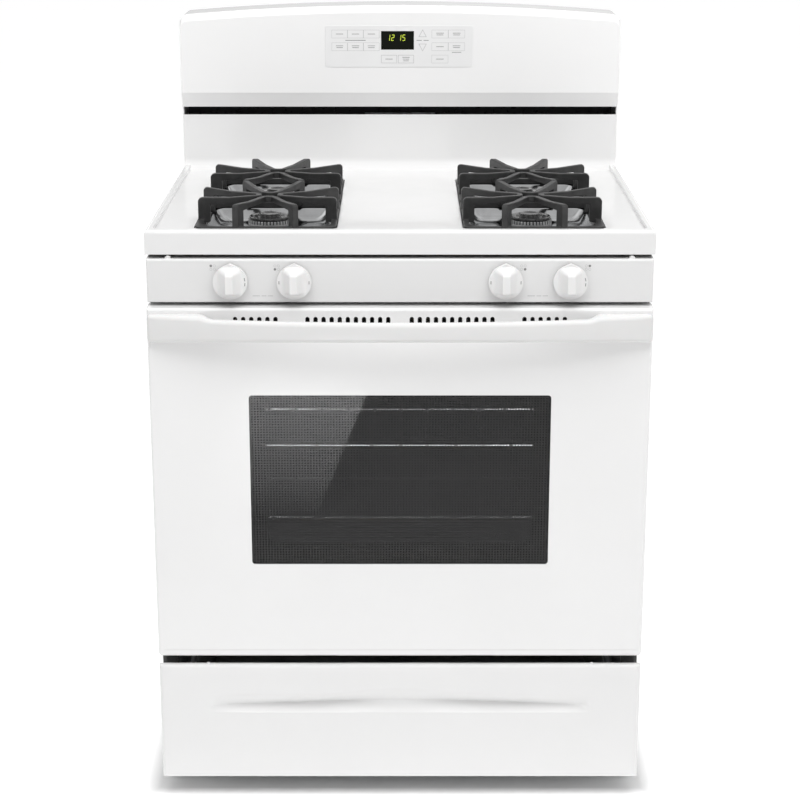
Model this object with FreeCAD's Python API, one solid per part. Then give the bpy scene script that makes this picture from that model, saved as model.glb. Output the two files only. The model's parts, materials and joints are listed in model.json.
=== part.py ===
"""Freestanding 30 inch gas range, built as separate pieces.

Frame: millimetres, +Z up, +X to the right when facing the door, -Y out of the door.
The origin is on the floor under the middle of the range's overall box.
"""
import FreeCAD, Part
import math
import os

from FreeCAD import Vector

# ---- driving dimensions -------------------------------------------------------------
WIDTH = 759.0              # cooktop and backguard, side to side
DEPTH = 730.0              # handle front to rear cover
HEIGHT = 1191.0            # floor to the top of the backguard's arch
COOKTOP_HEIGHT = 914.0

BACK_Y = DEPTH / 2
HANDLE_Y = -DEPTH / 2      # front of the handle's bow
FACE_Y = -317.0            # front of the door and of the drawer
SHEET = 2.0                # visible enamelled panels
THIN = 1.5                 # inner sheet metal

HALF = WIDTH / 2
SIDE_X = 378.0             # outside of the side panels
DOOR_HALF = 377.0

# cooktop
LIP_Y = -292.5
LIP_LOW = 877.6
SURFACE_Z = 907.0
RIM_W = 11.0
SWEEP_R = 20.0
RISER_Y = 292.0
RISER_TOP = 1002.0
WELL_X = 202.5             # centre of each pair of burners
WELL_HALF = 108.5
BURNER_Y = (-137.0, 77.0)
BURNER_PITCH = BURNER_Y[1] - BURNER_Y[0]
WELL_Y = (BURNER_Y[0] - WELL_HALF + 1.5, BURNER_Y[1] + WELL_HALF - 1.5)
LEDGE_Z = 899.0
LEDGE_W = 9.0
PAN_HALF = 106.3
PAN_Z = LEDGE_Z + 1.2
PAN_DEPTH = 22.0
GRATE_HALF = 106.3
GRATE_Z = PAN_Z + 0.1
GRATE_TOP = 943.0
SHOULDER_R = 6.0           # rounding of each finger's outer top corner

# backguard
GUARD_Y = 277.5
GUARD_LOW = 1016.0
GUARD_FACE_LOW = 1042.0
GUARD_ARCH = 15.0
GUARD_CORNER = 15.0
GUARD_BEVEL = (7.0, 12.0)  # depth back, height down
KEYPAD = (-129.0, 126.0, 1086.0, 1157.0)
DISPLAY = (-32.6, 24.0, 1115.8, 1147.6)

# control panel and knobs
PANEL_Y = -300.0
PANEL_Z = (806.0, 872.0)
PANEL_DEPTH = 30.0
KNOB_X = {"left_rear": -252.0, "left_front": -157.0, "right_front": 157.0, "right_rear": 253.0}
KNOB_Z = 839.0
KNOB_R = 25.5
KNOB_BACK = -304.0
KNOB_SKIRT = 7.0
KNOB_FRONT = -331.0
STEM_R = 4.0
STEM_BACK = -277.0

# door
DOOR_Z = (241.0, 801.0)
DOOR_BACK = -267.0
PAN_BACK = -281.0          # where the outer pan meets the inner pan
STEP_Z = 276.0             # below this the door is thin, to clear the frame as it turns
CREASE = (368.0, 12.3, 1.2, 0.6)   # folded line along the foot: half length, height, width, depth
INLET_X = (98.0, 146.0)    # air inlets in the door's lower edge
INLET_HIGH = 2.0
WINDOW = (227.5, 396.0, 667.0)
INNER_WINDOW = (205.0, 415.0, 648.0)
HINGE = (-293.0, 266.0)
HINGE_X = 351.5
PIN_R = 4.0

# handle
HANDLE_Z = (759.0, 789.0)
HANDLE_END_Z = (751.0, 793.0)
HANDLE_END_Y = -327.0
HANDLE_BAR = 14.0
HANDLE_GAP_X = 289.0
HANDLE_HALF = 376.0

# door vents: (first slot's x, count) of each row, mirrored about the middle
SLOT_PITCH = 12.0
SLOT_W = 6.3
SLOT_Z = (768.0, 788.4)
SLOT_ROWS = ((17.5, 11), (185.0, 6))

# body
FRAME_Y = -262.0
FRAME_T = 5.0
FRAME_Z = (236.0, 804.0)
REAR_Y = 363.5
CAVITY = (302.0, 290.0, 752.0)
CAVITY_BACK = 203.0
SUMP = (290.0, -230.0, 190.0, 255.0)
RACK_Z = (446.0, 564.0)
RACK_Y = (-247.0, -48.0, 153.0)
RACK_HALF = 291.0
RACK_LEVELS = (387.0, 446.0, 505.0, 564.0, 623.0)

# drawer
DRAWER_Z = (34.0, 228.0)
DRAWER_BACK = -297.0
DRAWER_FLANGE = 9.0        # depth of the front's top flange, behind which it is cut away
DRAWER_RELIEF = 12.0       # height of that cut
BUMPER_X = 300.0           # soft stops for the door on the drawer's top edge
BUMPER_R = 2.8
BUMPER_HIGH = 2.0
BUMPER_IN = 6.0            # behind the drawer's face
BOX_HALF = 328.0
BOX_Y = (DRAWER_BACK, 250.0)
BOX_Z = (62.0, 200.0)
RUNNER_Z = (105.0, 120.0)

FOOT_X = 350.0
FOOT_Y = (-206.0, 334.0)


# ---- helpers ------------------------------------------------------------------------
def box(x0, x1, y0, y1, z0, z1):
    return Part.makeBox(x1 - x0, y1 - y0, z1 - z0, Vector(x0, y0, z0))


def rod(start, end, radius):
    along = Vector(*end) - Vector(*start)
    return Part.makeCylinder(radius, along.Length, Vector(*start), along)


def tube_path(points, radius):
    """Straight tubes joined by balls, as one solid."""
    pieces = [rod(a, b, radius) for a, b in zip(points, points[1:])]
    pieces += [Part.makeSphere(radius, Vector(*p)) for p in points[1:-1]]
    return fuse(pieces)


def fuse(shapes):
    first = shapes[0]
    if len(shapes) == 1:
        return first
    return first.fuse(shapes[1:]).removeSplitter()


def cut(shape, tools):
    return shape.cut(tools).removeSplitter()


def mirrored(shape):
    return shape.mirror(Vector(0, 0, 0), Vector(1, 0, 0))


def polygon(points):
    return Part.Face(Part.makePolygon([Vector(*p) for p in points + [points[0]]]))


def prism_x(profile, x0, x1):
    """Extrude a (y, z) outline from x0 to x1."""
    return polygon([(x0, y, z) for y, z in profile]).extrude(Vector(x1 - x0, 0, 0))


def round_rect(x0, x1, y0, y1, radius, z):
    """Rounded rectangle wire at height z."""
    corners = ((x1 - radius, y1 - radius, 0), (x0 + radius, y1 - radius, 90),
               (x0 + radius, y0 + radius, 180), (x1 - radius, y0 + radius, 270))
    edges = []
    last = None
    for cx, cy, start in corners:
        arc_points = []
        for turn in (0, 45, 90):
            angle = math.radians(start + turn)
            arc_points.append(Vector(cx + radius * math.cos(angle), cy + radius * math.sin(angle), z))
        if last is not None:
            edges.append(Part.makeLine(last, arc_points[0]))
        edges.append(Part.Arc(*arc_points).toShape())
        last = arc_points[2]
    edges.append(Part.makeLine(last, edges[0].Vertexes[0].Point))
    return Part.Wire(edges)


def round_slab(x0, x1, y0, y1, z0, z1, radius):
    return Part.Face(round_rect(x0, x1, y0, y1, radius, z0)).extrude(Vector(0, 0, z1 - z0))


def upright_slab(x0, x1, y0, y1, z0, z1, radius):
    """Slab whose rounded corners show from the front, from y0 back to y1."""
    flat = round_slab(x0, x1, z0, z1, 0, y1 - y0, radius)
    flat.rotate(Vector(0, 0, 0), Vector(1, 0, 0), 90)
    flat.translate(Vector(0, y1, 0))
    return flat


def edges_where(shape, test):
    return [edge for edge in shape.Edges if test(edge.BoundBox)]


def fillet_where(shape, radius, test):
    return shape.makeFillet(radius, edges_where(shape, test))


def on_front(y, margin=0.01):
    return lambda b: abs(b.YMin - y) < margin and abs(b.YMax - y) < margin


# ---- body ---------------------------------------------------------------------------
def side_panel_right():
    y0, y1, z0, z1 = FRAME_Y + 1.0, REAR_Y - 2.0, 30.0, LIP_LOW - 1.1
    plate = box(SIDE_X - THIN, SIDE_X, y0, y1, z0, z1)
    front = box(SIDE_X - 26, SIDE_X, y0, y0 + THIN, z0, FRAME_Z[0])
    rear = box(SIDE_X - 20, SIDE_X, y1 - THIN, y1, z0, z1)
    top = box(SIDE_X - 18, SIDE_X, y0, y1, z1 - THIN, z1)
    holes = [rod((x, 340, z), (x, 370, z), 2.1) for x, z in rear_screw_places() if x > 0]
    return cut(fuse([plate, front, rear, top]), holes)


def rear_panel():
    plate = box(-SIDE_X + 1, SIDE_X - 1, REAR_Y - 2, REAR_Y - 0.5, 30, 878)
    holes = [rod((GAS_X, 350, GAS_Z), (GAS_X, 370, GAS_Z), 20),
             box(-POWER_X - 16, -POWER_X + 16, 350, 370, POWER_Z - 12, POWER_Z + 12)]
    holes += [rod((x, 350, z), (x, 370, z), 2.1) for x, z in rear_screw_places()]
    for row in range(5):
        z = 640 + 30 * row
        holes += [upright_slab(x - 22, x + 22, 355, 368, z - 3, z + 3, 2.9) for x in (-210, -150, 150, 210)]
    return cut(plate, holes)


def rear_screw_places():
    return [(side * 367.0, z) for side in (-1, 1) for z in (60.0, 300.0, 560.0, 820.0)]


def panel_screws():
    screws = []
    for x, z in rear_screw_places():
        shaft = rod((x, 350.0, z), (x, REAR_Y, z), 2.0)
        head = rod((x, REAR_Y - 0.5, z), (x, BACK_Y - 0.2, z), 4.2)
        screws.append(fuse([shaft, head]))
    return Part.Compound(screws)


def base_frame():
    x, y0, y1 = 374.5, FRAME_Y + 4, REAR_Y - 5
    low, high = 30.0, 58.0
    wall = cut(box(-x, x, y0, y1, low, high), [box(-x + 2, x - 2, y0 + 2, y1 - 2, low - 1, high + 1)])
    flange = cut(box(-x, x, y0, y1, low, low + 2.5), [box(-x + 26, x - 26, y0 + 26, y1 - 26, low - 1, low + 5)])
    nuts = []
    holes = []
    for side in (-1, 1):
        for y in FOOT_Y:
            nuts.append(box(side * FOOT_X - 20, side * FOOT_X + 20, y - 20, y + 20, low, low + 10))
            holes.append(rod((side * FOOT_X, y, low - 1), (side * FOOT_X, y, low + 12), 4.1))
    return cut(fuse([wall, flange] + nuts), holes)


def leveling_feet():
    feet = []
    for side in (-1, 1):
        for y in FOOT_Y:
            pad = Part.makeCone(19, 16, 9, Vector(side * FOOT_X, y, 0))
            nut = Part.makeCylinder(8, 6, Vector(side * FOOT_X, y, 9))
            stem = Part.makeCylinder(4, 38, Vector(side * FOOT_X, y, 9))
            feet.append(fuse([pad, nut, stem]))
    return Part.Compound(feet)


# ---- oven ---------------------------------------------------------------------------
def oven_front_frame():
    half, low, high = CAVITY
    plate = box(-SIDE_X + 2, SIDE_X - 2, FRAME_Y, FRAME_Y + FRAME_T, *FRAME_Z)
    opening = box(-half, half, FRAME_Y - 1, FRAME_Y + FRAME_T + 1, low, high)
    slots = [box(side * HINGE_X - 6, side * HINGE_X + 6, FRAME_Y - 1, FRAME_Y + FRAME_T + 1,
                 HINGE[1] - 10, HINGE[1] + 10) for side in (-1, 1)]
    return cut(plate, [opening] + slots)


def oven_liner():
    half, low, high = CAVITY
    sump_half, sump_y0, sump_y1, sump_z = SUMP
    front = FRAME_Y + FRAME_T
    outer = fuse([box(-half - 2, half + 2, front, CAVITY_BACK + 2, low - 2, high + 2),
                  box(-sump_half - 2, sump_half + 2, sump_y0 - 2, sump_y1 + 2, sump_z - 2, low)])
    inner = fuse([box(-half, half, front - 1, CAVITY_BACK, low, high),
                  box(-sump_half, sump_half, sump_y0, sump_y1, sump_z, low + 1)])
    flue = box(-58, 58, 152, 188, high - 1, high + 3)
    return cut(outer, [inner, flue])


def oven_insulation():
    half, low, high = CAVITY
    front = FRAME_Y + FRAME_T + 1
    outer = box(-half - 26, half + 26, front, CAVITY_BACK + 28, low + 2, high + 24)
    inner = box(-half - 2.5, half + 2.5, front - 1, CAVITY_BACK + 2.5, low, high + 2.5)
    flue = box(-62, 62, 148, 260, high, high + 40)
    return cut(outer, [inner, flue])


def door_gasket():
    half, low, high = CAVITY
    y0, y1 = DOOR_BACK + 0.3, FRAME_Y
    outer = upright_slab(-half - 12, half + 12, y0, y1, low - 12, high + 12, 14)
    inner = upright_slab(-half - 3, half + 3, y0 - 1, y1 + 1, low - 3, high + 3, 6)
    return cut(outer, [inner])


def oven_floor_plate():
    z = CAVITY[1]
    plate = box(-299, 299, -250, CAVITY_BACK - 2, z, z + THIN)
    slots = [box(side * 262 - 8, side * 262 + 8, y, y + 60, z - 1, z + 3)
             for side in (-1, 1) for y in (-210, -130, -50, 30, 110)]
    return cut(plate, slots)


def bake_burner():
    body = rod((0, SUMP[1] + 20, 271), (0, SUMP[2], 271), 12)
    wings = box(-40, 40, -190, 150, 270, 272.5)
    return fuse([body, wings])


def broil_burner():
    top = CAVITY[2] - 2
    box_part = box(-150, 150, -140, 110, top - 18, top - 4)
    rim = box(-156, 156, -146, 116, top - 4, top)
    feed = rod((0, 100, top - 11), (0, CAVITY_BACK, top - 11), 6)
    ports = [box(-140, 140, y, y + 4, top - 19, top - 15) for y in range(-125, 100, 15)]
    return cut(fuse([box_part, rim, feed]), ports)


def oven_burners():
    return Part.Compound([bake_burner(), broil_burner()])


def oven_igniters():
    bake = fuse([box(44, 60, -70, 30, 264, 272), box(44, 56, 30, 60, 262, 274)])
    top = CAVITY[2] - 12
    broil = fuse([box(160, 172, -90, 20, top - 6, top), box(158, 174, 20, 50, top - 8, top + 2)])
    return Part.Compound([bake, broil])


def oven_light():
    x, z, y = -215.0, 690.0, CAVITY_BACK
    lens = rod((x, y - 24, z), (x, y - 4, z), 20)
    lens = fillet_where(lens, 8, lambda b: abs(b.YMin - (y - 24)) < 0.01 and abs(b.YMax - (y - 24)) < 0.01)
    collar = rod((x, y - 4, z), (x, y, z), 26)
    return fuse([lens, collar])


def rack_guide_right():
    x0, x1 = RACK_HALF - 5, CAVITY[0] - 0.2
    ledges = []
    for z in RACK_LEVELS:
        top = z - 3.2
        ledges.append(box(x0, x1, -235, 190, top - 3, top))
    posts = [box(x1 - 3, x1, y, y + 8, RACK_LEVELS[0] - 40, RACK_LEVELS[-1] + 30) for y in (-200, -24, 150)]
    return fuse(ledges + posts)


def rack_guides():
    right = rack_guide_right()
    return Part.Compound([right, mirrored(right)])


def oven_rack(z):
    front, middle, rear = RACK_Y
    side_r, wire_r = 3.0, 2.2
    wires = [rod((-RACK_HALF, y, z), (RACK_HALF, y, z), side_r) for y in RACK_Y]
    wires += [rod((x, front, z), (x, rear, z), side_r) for x in (-RACK_HALF, RACK_HALF)]
    wires += [Part.makeSphere(side_r, Vector(x, y, z)) for x in (-RACK_HALF, RACK_HALF) for y in (front, rear)]
    pitch = 43.0
    lift = side_r + wire_r - 1.0
    for index in range(-6, 7):
        x = index * pitch
        wires.append(rod((x, front - 2, z + lift), (x, rear + 2, z + lift), wire_r))
    return fuse(wires)


def flue_duct():
    top = CAVITY[2] + 2.3
    outer = fuse([box(-62, 62, 148, 345, top, top + 34), box(-62, 62, 302, 345, top, RISER_TOP - 4)])
    inner = fuse([box(-60.5, 60.5, 149.5, 343.5, top - 1, top + 32.5),
                  box(-60.5, 60.5, 303.5, 343.5, top + 2, RISER_TOP)])
    closing = box(-62, 62, 200, 345, top - 0.01, top + 1.5)
    return fuse([cut(outer, [inner]), closing])


# ---- cooktop ------------------------------------------------------------------------
def sweep_profile(front_y, surface_z, wall_y, top_z, radius):
    """Wire edges from the front of a flat sheet, up a rounded back, to the top of a riser."""
    bend_in = Vector(0, wall_y - radius, surface_z)
    bend_mid = Vector(0, wall_y - radius * (1 - math.sin(math.pi / 4)),
                      surface_z + radius * (1 - math.cos(math.pi / 4)))
    bend_out = Vector(0, wall_y, surface_z + radius)
    return [Part.makeLine(Vector(0, front_y, surface_z), bend_in),
            Part.Arc(bend_in, bend_mid, bend_out).toShape(),
            Part.makeLine(bend_out, Vector(0, wall_y, top_z))]


def cooktop():
    low = SURFACE_Z - SHEET
    upper = sweep_profile(LIP_Y + 5, SURFACE_Z, RISER_Y, RISER_TOP, SWEEP_R)
    lower = sweep_profile(LIP_Y + 5, low, RISER_Y + SHEET, RISER_TOP, SWEEP_R + SHEET)
    ends = [Part.makeLine(upper[-1].Vertexes[-1].Point, lower[-1].Vertexes[-1].Point),
            Part.makeLine(upper[0].Vertexes[0].Point, lower[0].Vertexes[0].Point)]
    sheet = Part.Face(Part.Wire(Part.__sortEdges__(upper + lower + ends)))
    sheet.translate(Vector(-HALF, 0, 0))
    deck = sheet.extrude(Vector(WIDTH, 0, 0))

    rim_outer = box(-HALF, HALF, LIP_Y, RISER_Y, LIP_LOW, COOKTOP_HEIGHT)
    rim_outer = fillet_where(rim_outer, 6, lambda b: b.ZMin > COOKTOP_HEIGHT - 0.01 and b.YMin < RISER_Y - 1)
    hollow = box(-HALF + SHEET, HALF - SHEET, LIP_Y + SHEET, RISER_Y + 1, LIP_LOW - 1, COOKTOP_HEIGHT - SHEET)
    basin = round_slab(-HALF + RIM_W, HALF - RIM_W, LIP_Y + RIM_W, RISER_Y + 40, SURFACE_Z - 8,
                       COOKTOP_HEIGHT + 1, 12)
    rim = cut(rim_outer, [hollow, basin])
    step = cut(round_slab(-HALF + RIM_W - SHEET, HALF - RIM_W + SHEET, LIP_Y + RIM_W - SHEET, RISER_Y,
                          low, COOKTOP_HEIGHT - 1, 14),
               [round_slab(-HALF + RIM_W, HALF - RIM_W, LIP_Y + RIM_W, RISER_Y + 30, low - 1,
                           COOKTOP_HEIGHT + 1, 12)])
    body = fuse([deck, rim, step])

    wells = []
    supports = []
    for side in (-1, 1):
        x0, x1 = side * WELL_X - WELL_HALF, side * WELL_X + WELL_HALF
        y0, y1 = WELL_Y
        wells.append(round_slab(x0, x1, y0, y1, low - 1, SURFACE_Z + 1, 10))
        frame = cut(round_slab(x0 - THIN, x1 + THIN, y0 - THIN, y1 + THIN, LEDGE_Z - THIN, low + 0.5, 11),
                    [round_slab(x0, x1, y0, y1, LEDGE_Z, low + 2, 10)])
        holes = [round_slab(side * WELL_X - WELL_HALF + LEDGE_W, side * WELL_X + WELL_HALF - LEDGE_W,
                            y - BURNER_PITCH / 2 + LEDGE_W, y + BURNER_PITCH / 2 - LEDGE_W,
                            LEDGE_Z - 5, LEDGE_Z + 5, 20) for y in BURNER_Y]
        supports.append(cut(frame, holes))
    return fuse([cut(body, wells)] + supports)


def burner_places():
    return [(side * WELL_X, y) for side in (-1, 1) for y in BURNER_Y]


def drip_pan(x, y):
    top, low = PAN_Z, PAN_Z - PAN_DEPTH
    half = PAN_HALF - 0.2
    flange = round_slab(-half, half, -half, half, LEDGE_Z, top, 9)
    bowl_out = Part.makeLoft([round_rect(-95, 95, -95, 95, 22, top), round_rect(-80, 80, -80, 80, 28, low)],
                             True, True)
    bowl_in = Part.makeLoft([round_rect(-93.8, 93.8, -93.8, 93.8, 21, top + 0.01),
                             round_rect(-78.8, 78.8, -78.8, 78.8, 27, low + 1.2)], True, True)
    hole = Part.makeCylinder(36.5, 12, Vector(0, 0, low - 5))
    spark_hole = Part.makeCylinder(5, 30, Vector(0, 43, low - 5))
    pan = cut(fuse([flange, bowl_out]), [bowl_in, hole, spark_hole])
    pan.translate(Vector(x, y, 0))
    return pan


def drip_pans():
    return Part.Compound([drip_pan(x, y) for x, y in burner_places()])


def burner_base(x, y):
    head = Part.makeCylinder(33.5, 23, Vector(0, 0, 879))
    hollow = Part.makeCylinder(27, 16, Vector(0, 0, 888))
    neck = Part.makeCylinder(14, 18, Vector(0, 0, 861))
    throat = Part.makeCylinder(9, 40, Vector(0, 0, 860))
    ports = []
    for index in range(24):
        port = box(24, 36, -1.3, 1.3, 897.5, 903)
        port.rotate(Vector(0, 0, 0), Vector(0, 0, 1), 15 * index)
        ports.append(port)
    base = cut(fuse([head, neck]), [hollow, throat] + ports)
    base.translate(Vector(x, y, 0))
    return base


def burner_bases():
    return Part.Compound([burner_base(x, y) for x, y in burner_places()])


def burner_cap(x, y):
    disc = Part.makeCylinder(31.5, 4.5, Vector(0, 0, 902.0))
    disc = fillet_where(disc, 1.8, lambda b: b.ZMin > 906.4)
    dome = Part.makeCylinder(17, 4.5, Vector(0, 0, 906.0))
    dome = fillet_where(dome, 2.0, lambda b: b.ZMin > 910.4)
    skirt = Part.makeCylinder(26, 2.0, Vector(0, 0, 900.5))
    cap = fuse([disc, dome, skirt])
    cap.translate(Vector(x, y, 0))
    return cap


def burner_caps():
    return Part.Compound([burner_cap(x, y) for x, y in burner_places()])


def finger_band():
    """Plan of one V finger: two blades that meet in a round apex near the burner."""
    foot, apex, half_t = (48.0, 112.0), (9.0, 20.0), 4.25
    dx, dy = foot[0] - apex[0], foot[1] - apex[1]
    length = math.hypot(dx, dy)
    nx, ny = dy / length * half_t, -dx / length * half_t
    outer = [(foot[0] + nx, foot[1] + ny), (apex[0] + nx, apex[1] + ny)]
    inner = [(foot[0] - nx, foot[1] - ny), (apex[0] - nx, apex[1] - ny)]

    def half_loop(far, near, tip_y):
        start, end = Vector(*near, 0), Vector(-near[0], near[1], 0)
        return [Part.makeLine(Vector(*far, 0), start),
                Part.Arc(start, Vector(0, tip_y, 0), end).toShape(),
                Part.makeLine(end, Vector(-far[0], far[1], 0))]

    edges = half_loop(outer[0], outer[1], 12.0) + half_loop(inner[0], inner[1], 20.5)
    for sign in (-1, 1):
        edges.append(Part.makeLine(Vector(sign * outer[0][0], outer[0][1], 0),
                                   Vector(sign * inner[0][0], inner[0][1], 0)))
    return Part.Face(Part.Wire(Part.__sortEdges__(edges)))


def grate(x, y):
    half = GRATE_HALF
    ring = cut(round_slab(-half, half, -half, half, GRATE_Z, GRATE_Z + 9, 12),
               [round_slab(-half + 9, half - 9, -half + 9, half - 9, GRATE_Z - 1, GRATE_Z + 12, 24)])
    band = finger_band()
    blade_low = GRATE_TOP - 12
    blades = band.extrude(Vector(0, 0, 12))
    blades.translate(Vector(0, 0, blade_low))
    posts = band.extrude(Vector(0, 0, GRATE_TOP - 2 - GRATE_Z - 4))
    posts.translate(Vector(0, 0, GRATE_Z + 4))
    posts = posts.common(box(-70, 70, half - 18, half, GRATE_Z, GRATE_TOP))
    blades = blades.common(box(-70, 70, 0, half, GRATE_Z, GRATE_TOP + 1))
    finger = cut(fuse([blades] + posts.Solids), [blade_slope()]).common(shoulder())
    pieces = [ring]
    for turn in range(4):
        turned = finger.copy()
        turned.rotate(Vector(0, 0, 0), Vector(0, 0, 1), 90 * turn)
        pieces.append(turned)
    whole = fuse(pieces)
    whole.translate(Vector(x, y, 0))
    return whole


def blade_slope():
    """Takes the blades' tops down a little towards the middle, where the pan rests level."""
    return prism_x([(0, GRATE_TOP - 3), (60, GRATE_TOP - 3), (98, GRATE_TOP), (98, GRATE_TOP + 5),
                    (0, GRATE_TOP + 5)], -70, 70)


def shoulder():
    """Keeps a finger inside a side view whose outer top corner is rounded."""
    half, top, inset = GRATE_HALF, GRATE_TOP, SHOULDER_R * (1 - math.sin(math.pi / 4))
    start, end = Vector(0, half, top - SHOULDER_R), Vector(0, half - SHOULDER_R, top)
    edges = [Part.makeLine(Vector(0, 0, GRATE_Z), Vector(0, half, GRATE_Z)),
             Part.makeLine(Vector(0, half, GRATE_Z), start),
             Part.Arc(start, Vector(0, half - inset, top - inset), end).toShape(),
             Part.makeLine(end, Vector(0, 0, top)),
             Part.makeLine(Vector(0, 0, top), Vector(0, 0, GRATE_Z))]
    side = Part.Face(Part.Wire(edges))
    side.translate(Vector(-70, 0, 0))
    return side.extrude(Vector(140, 0, 0))


# ---- gas and electrics --------------------------------------------------------------
GAS_X, GAS_Z = 290.0, 92.0
POWER_X, POWER_Z = 290.0, 92.0
MANIFOLD_Y, MANIFOLD_Z = -262.0, 819.0
GAS_PIPE_Y = 322.0


def gas_manifold():
    pipe = rod((-300, MANIFOLD_Y, MANIFOLD_Z), (300, MANIFOLD_Y, MANIFOLD_Z), 9.5)
    brackets = [box(side * 318 - 20, side * 318 + 20, MANIFOLD_Y - 3, MANIFOLD_Y + 3, FRAME_Z[1], 860)
                for side in (-1, 1)]
    feed = tube_path([(GAS_X, GAS_PIPE_Y, GAS_Z + 26), (GAS_X, GAS_PIPE_Y, MANIFOLD_Z),
                      (GAS_X, MANIFOLD_Y, MANIFOLD_Z)], 7.5)
    return fuse([pipe, feed] + brackets)


def gas_regulator():
    body = rod((GAS_X, 296, GAS_Z), (GAS_X, 344, GAS_Z), 26)
    inlet = rod((GAS_X, 340, GAS_Z), (GAS_X, 359, GAS_Z), 15)
    top = rod((GAS_X, GAS_PIPE_Y, GAS_Z + 20), (GAS_X, GAS_PIPE_Y, GAS_Z + 26), 12)
    bore = rod((GAS_X, 341, GAS_Z), (GAS_X, 360, GAS_Z), 9.2)
    return cut(fuse([body, inlet, top]), [bore])


def gas_valve(x):
    body = box(x - 13, x + 13, -290, -268, KNOB_Z - 12, KNOB_Z + 16)
    neck = box(x - 9, x + 9, MANIFOLD_Y - 14, MANIFOLD_Y + 4, MANIFOLD_Z + 9.5, KNOB_Z + 16)
    bore = rod((x, -291, KNOB_Z), (x, -270, KNOB_Z), 8.1)
    return cut(fuse([body, neck]), [bore])


def gas_valves():
    return Part.Compound([gas_valve(x) for x in KNOB_X.values()])


def valve_plug(x):
    plug = rod((x, -289, KNOB_Z), (x, -270.5, KNOB_Z), 8.04)
    slot = rod((x, -290, KNOB_Z), (x, STEM_BACK + 4, KNOB_Z), STEM_R + 0.05)
    return cut(plug, [slot])


def burner_tubes():
    tubes = []
    z = KNOB_Z + 9
    for name, x in KNOB_X.items():
        y = BURNER_Y[1] if name.endswith("rear") else BURNER_Y[0]
        side = math.copysign(WELL_X, x)
        points = [(x, MANIFOLD_Y + 4, z), (x, y, z), (side, y, z)]
        cup = Part.makeCylinder(13, 861 - z + 3, Vector(side, y, z - 3))
        tubes.append(fuse([tube_path(points, 4.0), Part.makeSphere(4.0, Vector(side, y, z)), cup]))
    return Part.Compound(tubes)


def spark_electrodes():
    sparks = []
    for x, y in burner_places():
        ceramic = Part.makeCylinder(3.5, 34, Vector(x, y + 43, 864))
        tip = Part.makeCylinder(1.2, 8, Vector(x, y + 43, 898))
        bracket = box(x - 4, x + 4, y + 14.1, y + 46, 862, 864)
        sparks.append(fuse([ceramic, tip, bracket]))
    return Part.Compound(sparks)


def spark_module():
    back = REAR_Y - 2
    body = box(80, 160, back - 46, back, 800, 826)
    ears = box(70, 170, back - 2, back, 806, 820)
    terminals = [rod((x, back - 24, 826), (x, back - 24, 834), 3) for x in (92, 108, 124, 140)]
    return fuse([body, ears] + terminals)


def power_inlet():
    x, z = -POWER_X, POWER_Z
    flange = box(x - 22, x + 22, REAR_Y - 0.5, REAR_Y + 1.2, z - 16, z + 16)
    body = box(x - 15, x + 15, 338, REAR_Y - 0.5, z - 11, z + 11)
    recess = box(x - 12, x + 12, 346, REAR_Y + 2, z - 8, z + 8)
    pins = [box(x + dx - 1, x + dx + 1, 344, 358, z - 3, z + 3) for dx in (-7, 0, 7)]
    return fuse([cut(fuse([flange, body]), [recess])] + pins)


# ---- backguard ----------------------------------------------------------------------
def arch_outline(inset, y, top_drop=0.0):
    """Front view of the backguard: straight sides and foot, arched top, rounded top corners."""
    half = HALF - inset
    foot = GUARD_LOW + inset
    top = HEIGHT - inset - top_drop
    shoulder = HEIGHT - GUARD_ARCH - inset - top_drop
    r = GUARD_CORNER
    in45 = r * (1 - math.cos(math.pi / 4))
    left_a, left_b = Vector(-half, y, shoulder - r), Vector(-half + r, y, shoulder)
    left_m = Vector(-half + in45, y, shoulder - in45)
    right_a, right_b = Vector(half - r, y, shoulder), Vector(half, y, shoulder - r)
    right_m = Vector(half - in45, y, shoulder - in45)
    foot_l, foot_r = Vector(-half, y, foot), Vector(half, y, foot)
    edges = [Part.makeLine(foot_l, left_a), Part.Arc(left_a, left_m, left_b).toShape(),
             Part.Arc(left_b, Vector(0, y, top), right_a).toShape(),
             Part.Arc(right_a, right_m, right_b).toShape(), Part.makeLine(right_b, foot_r),
             Part.makeLine(foot_r, foot_l)]
    return Part.Wire(edges)


def backguard_panel():
    back_in, down = GUARD_BEVEL
    bevel = Part.makeLoft([arch_outline(0, GUARD_Y, down), arch_outline(0, GUARD_Y + back_in)], True, True)
    rest = Part.Face(arch_outline(0, GUARD_Y + back_in)).extrude(Vector(0, BACK_Y - 1.5 - GUARD_Y - back_in, 0))
    outer = fuse([bevel, rest])
    slope = prism_x([(GUARD_Y - 5, GUARD_FACE_LOW), (GUARD_Y, GUARD_FACE_LOW), (RISER_Y - 2, GUARD_LOW),
                     (RISER_Y - 2, GUARD_LOW - 5), (GUARD_Y - 5, GUARD_LOW - 5)], -HALF - 1, HALF + 1)
    outer = cut(outer, [slope])
    inner = Part.Face(arch_outline(SHEET, GUARD_Y + back_in + SHEET)).extrude(Vector(0, 120, 0))
    front_room = box(-HALF + 20, HALF - 20, GUARD_Y + SHEET, GUARD_Y + 30, GUARD_FACE_LOW + 2, HEIGHT - 32)
    slope_in = prism_x([(GUARD_Y, GUARD_FACE_LOW), (RISER_Y, GUARD_LOW + SHEET), (RISER_Y, GUARD_LOW - 3),
                        (GUARD_Y, GUARD_LOW - 3)], -HALF - 1, HALF + 1)
    inner = fuse([inner, front_room]).cut(slope_in)
    x0, x1, z0, z1 = DISPLAY
    window = box(x0, x1, GUARD_Y - 2, GUARD_Y + 6, z0, z1)
    return cut(outer, [inner, window])


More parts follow.
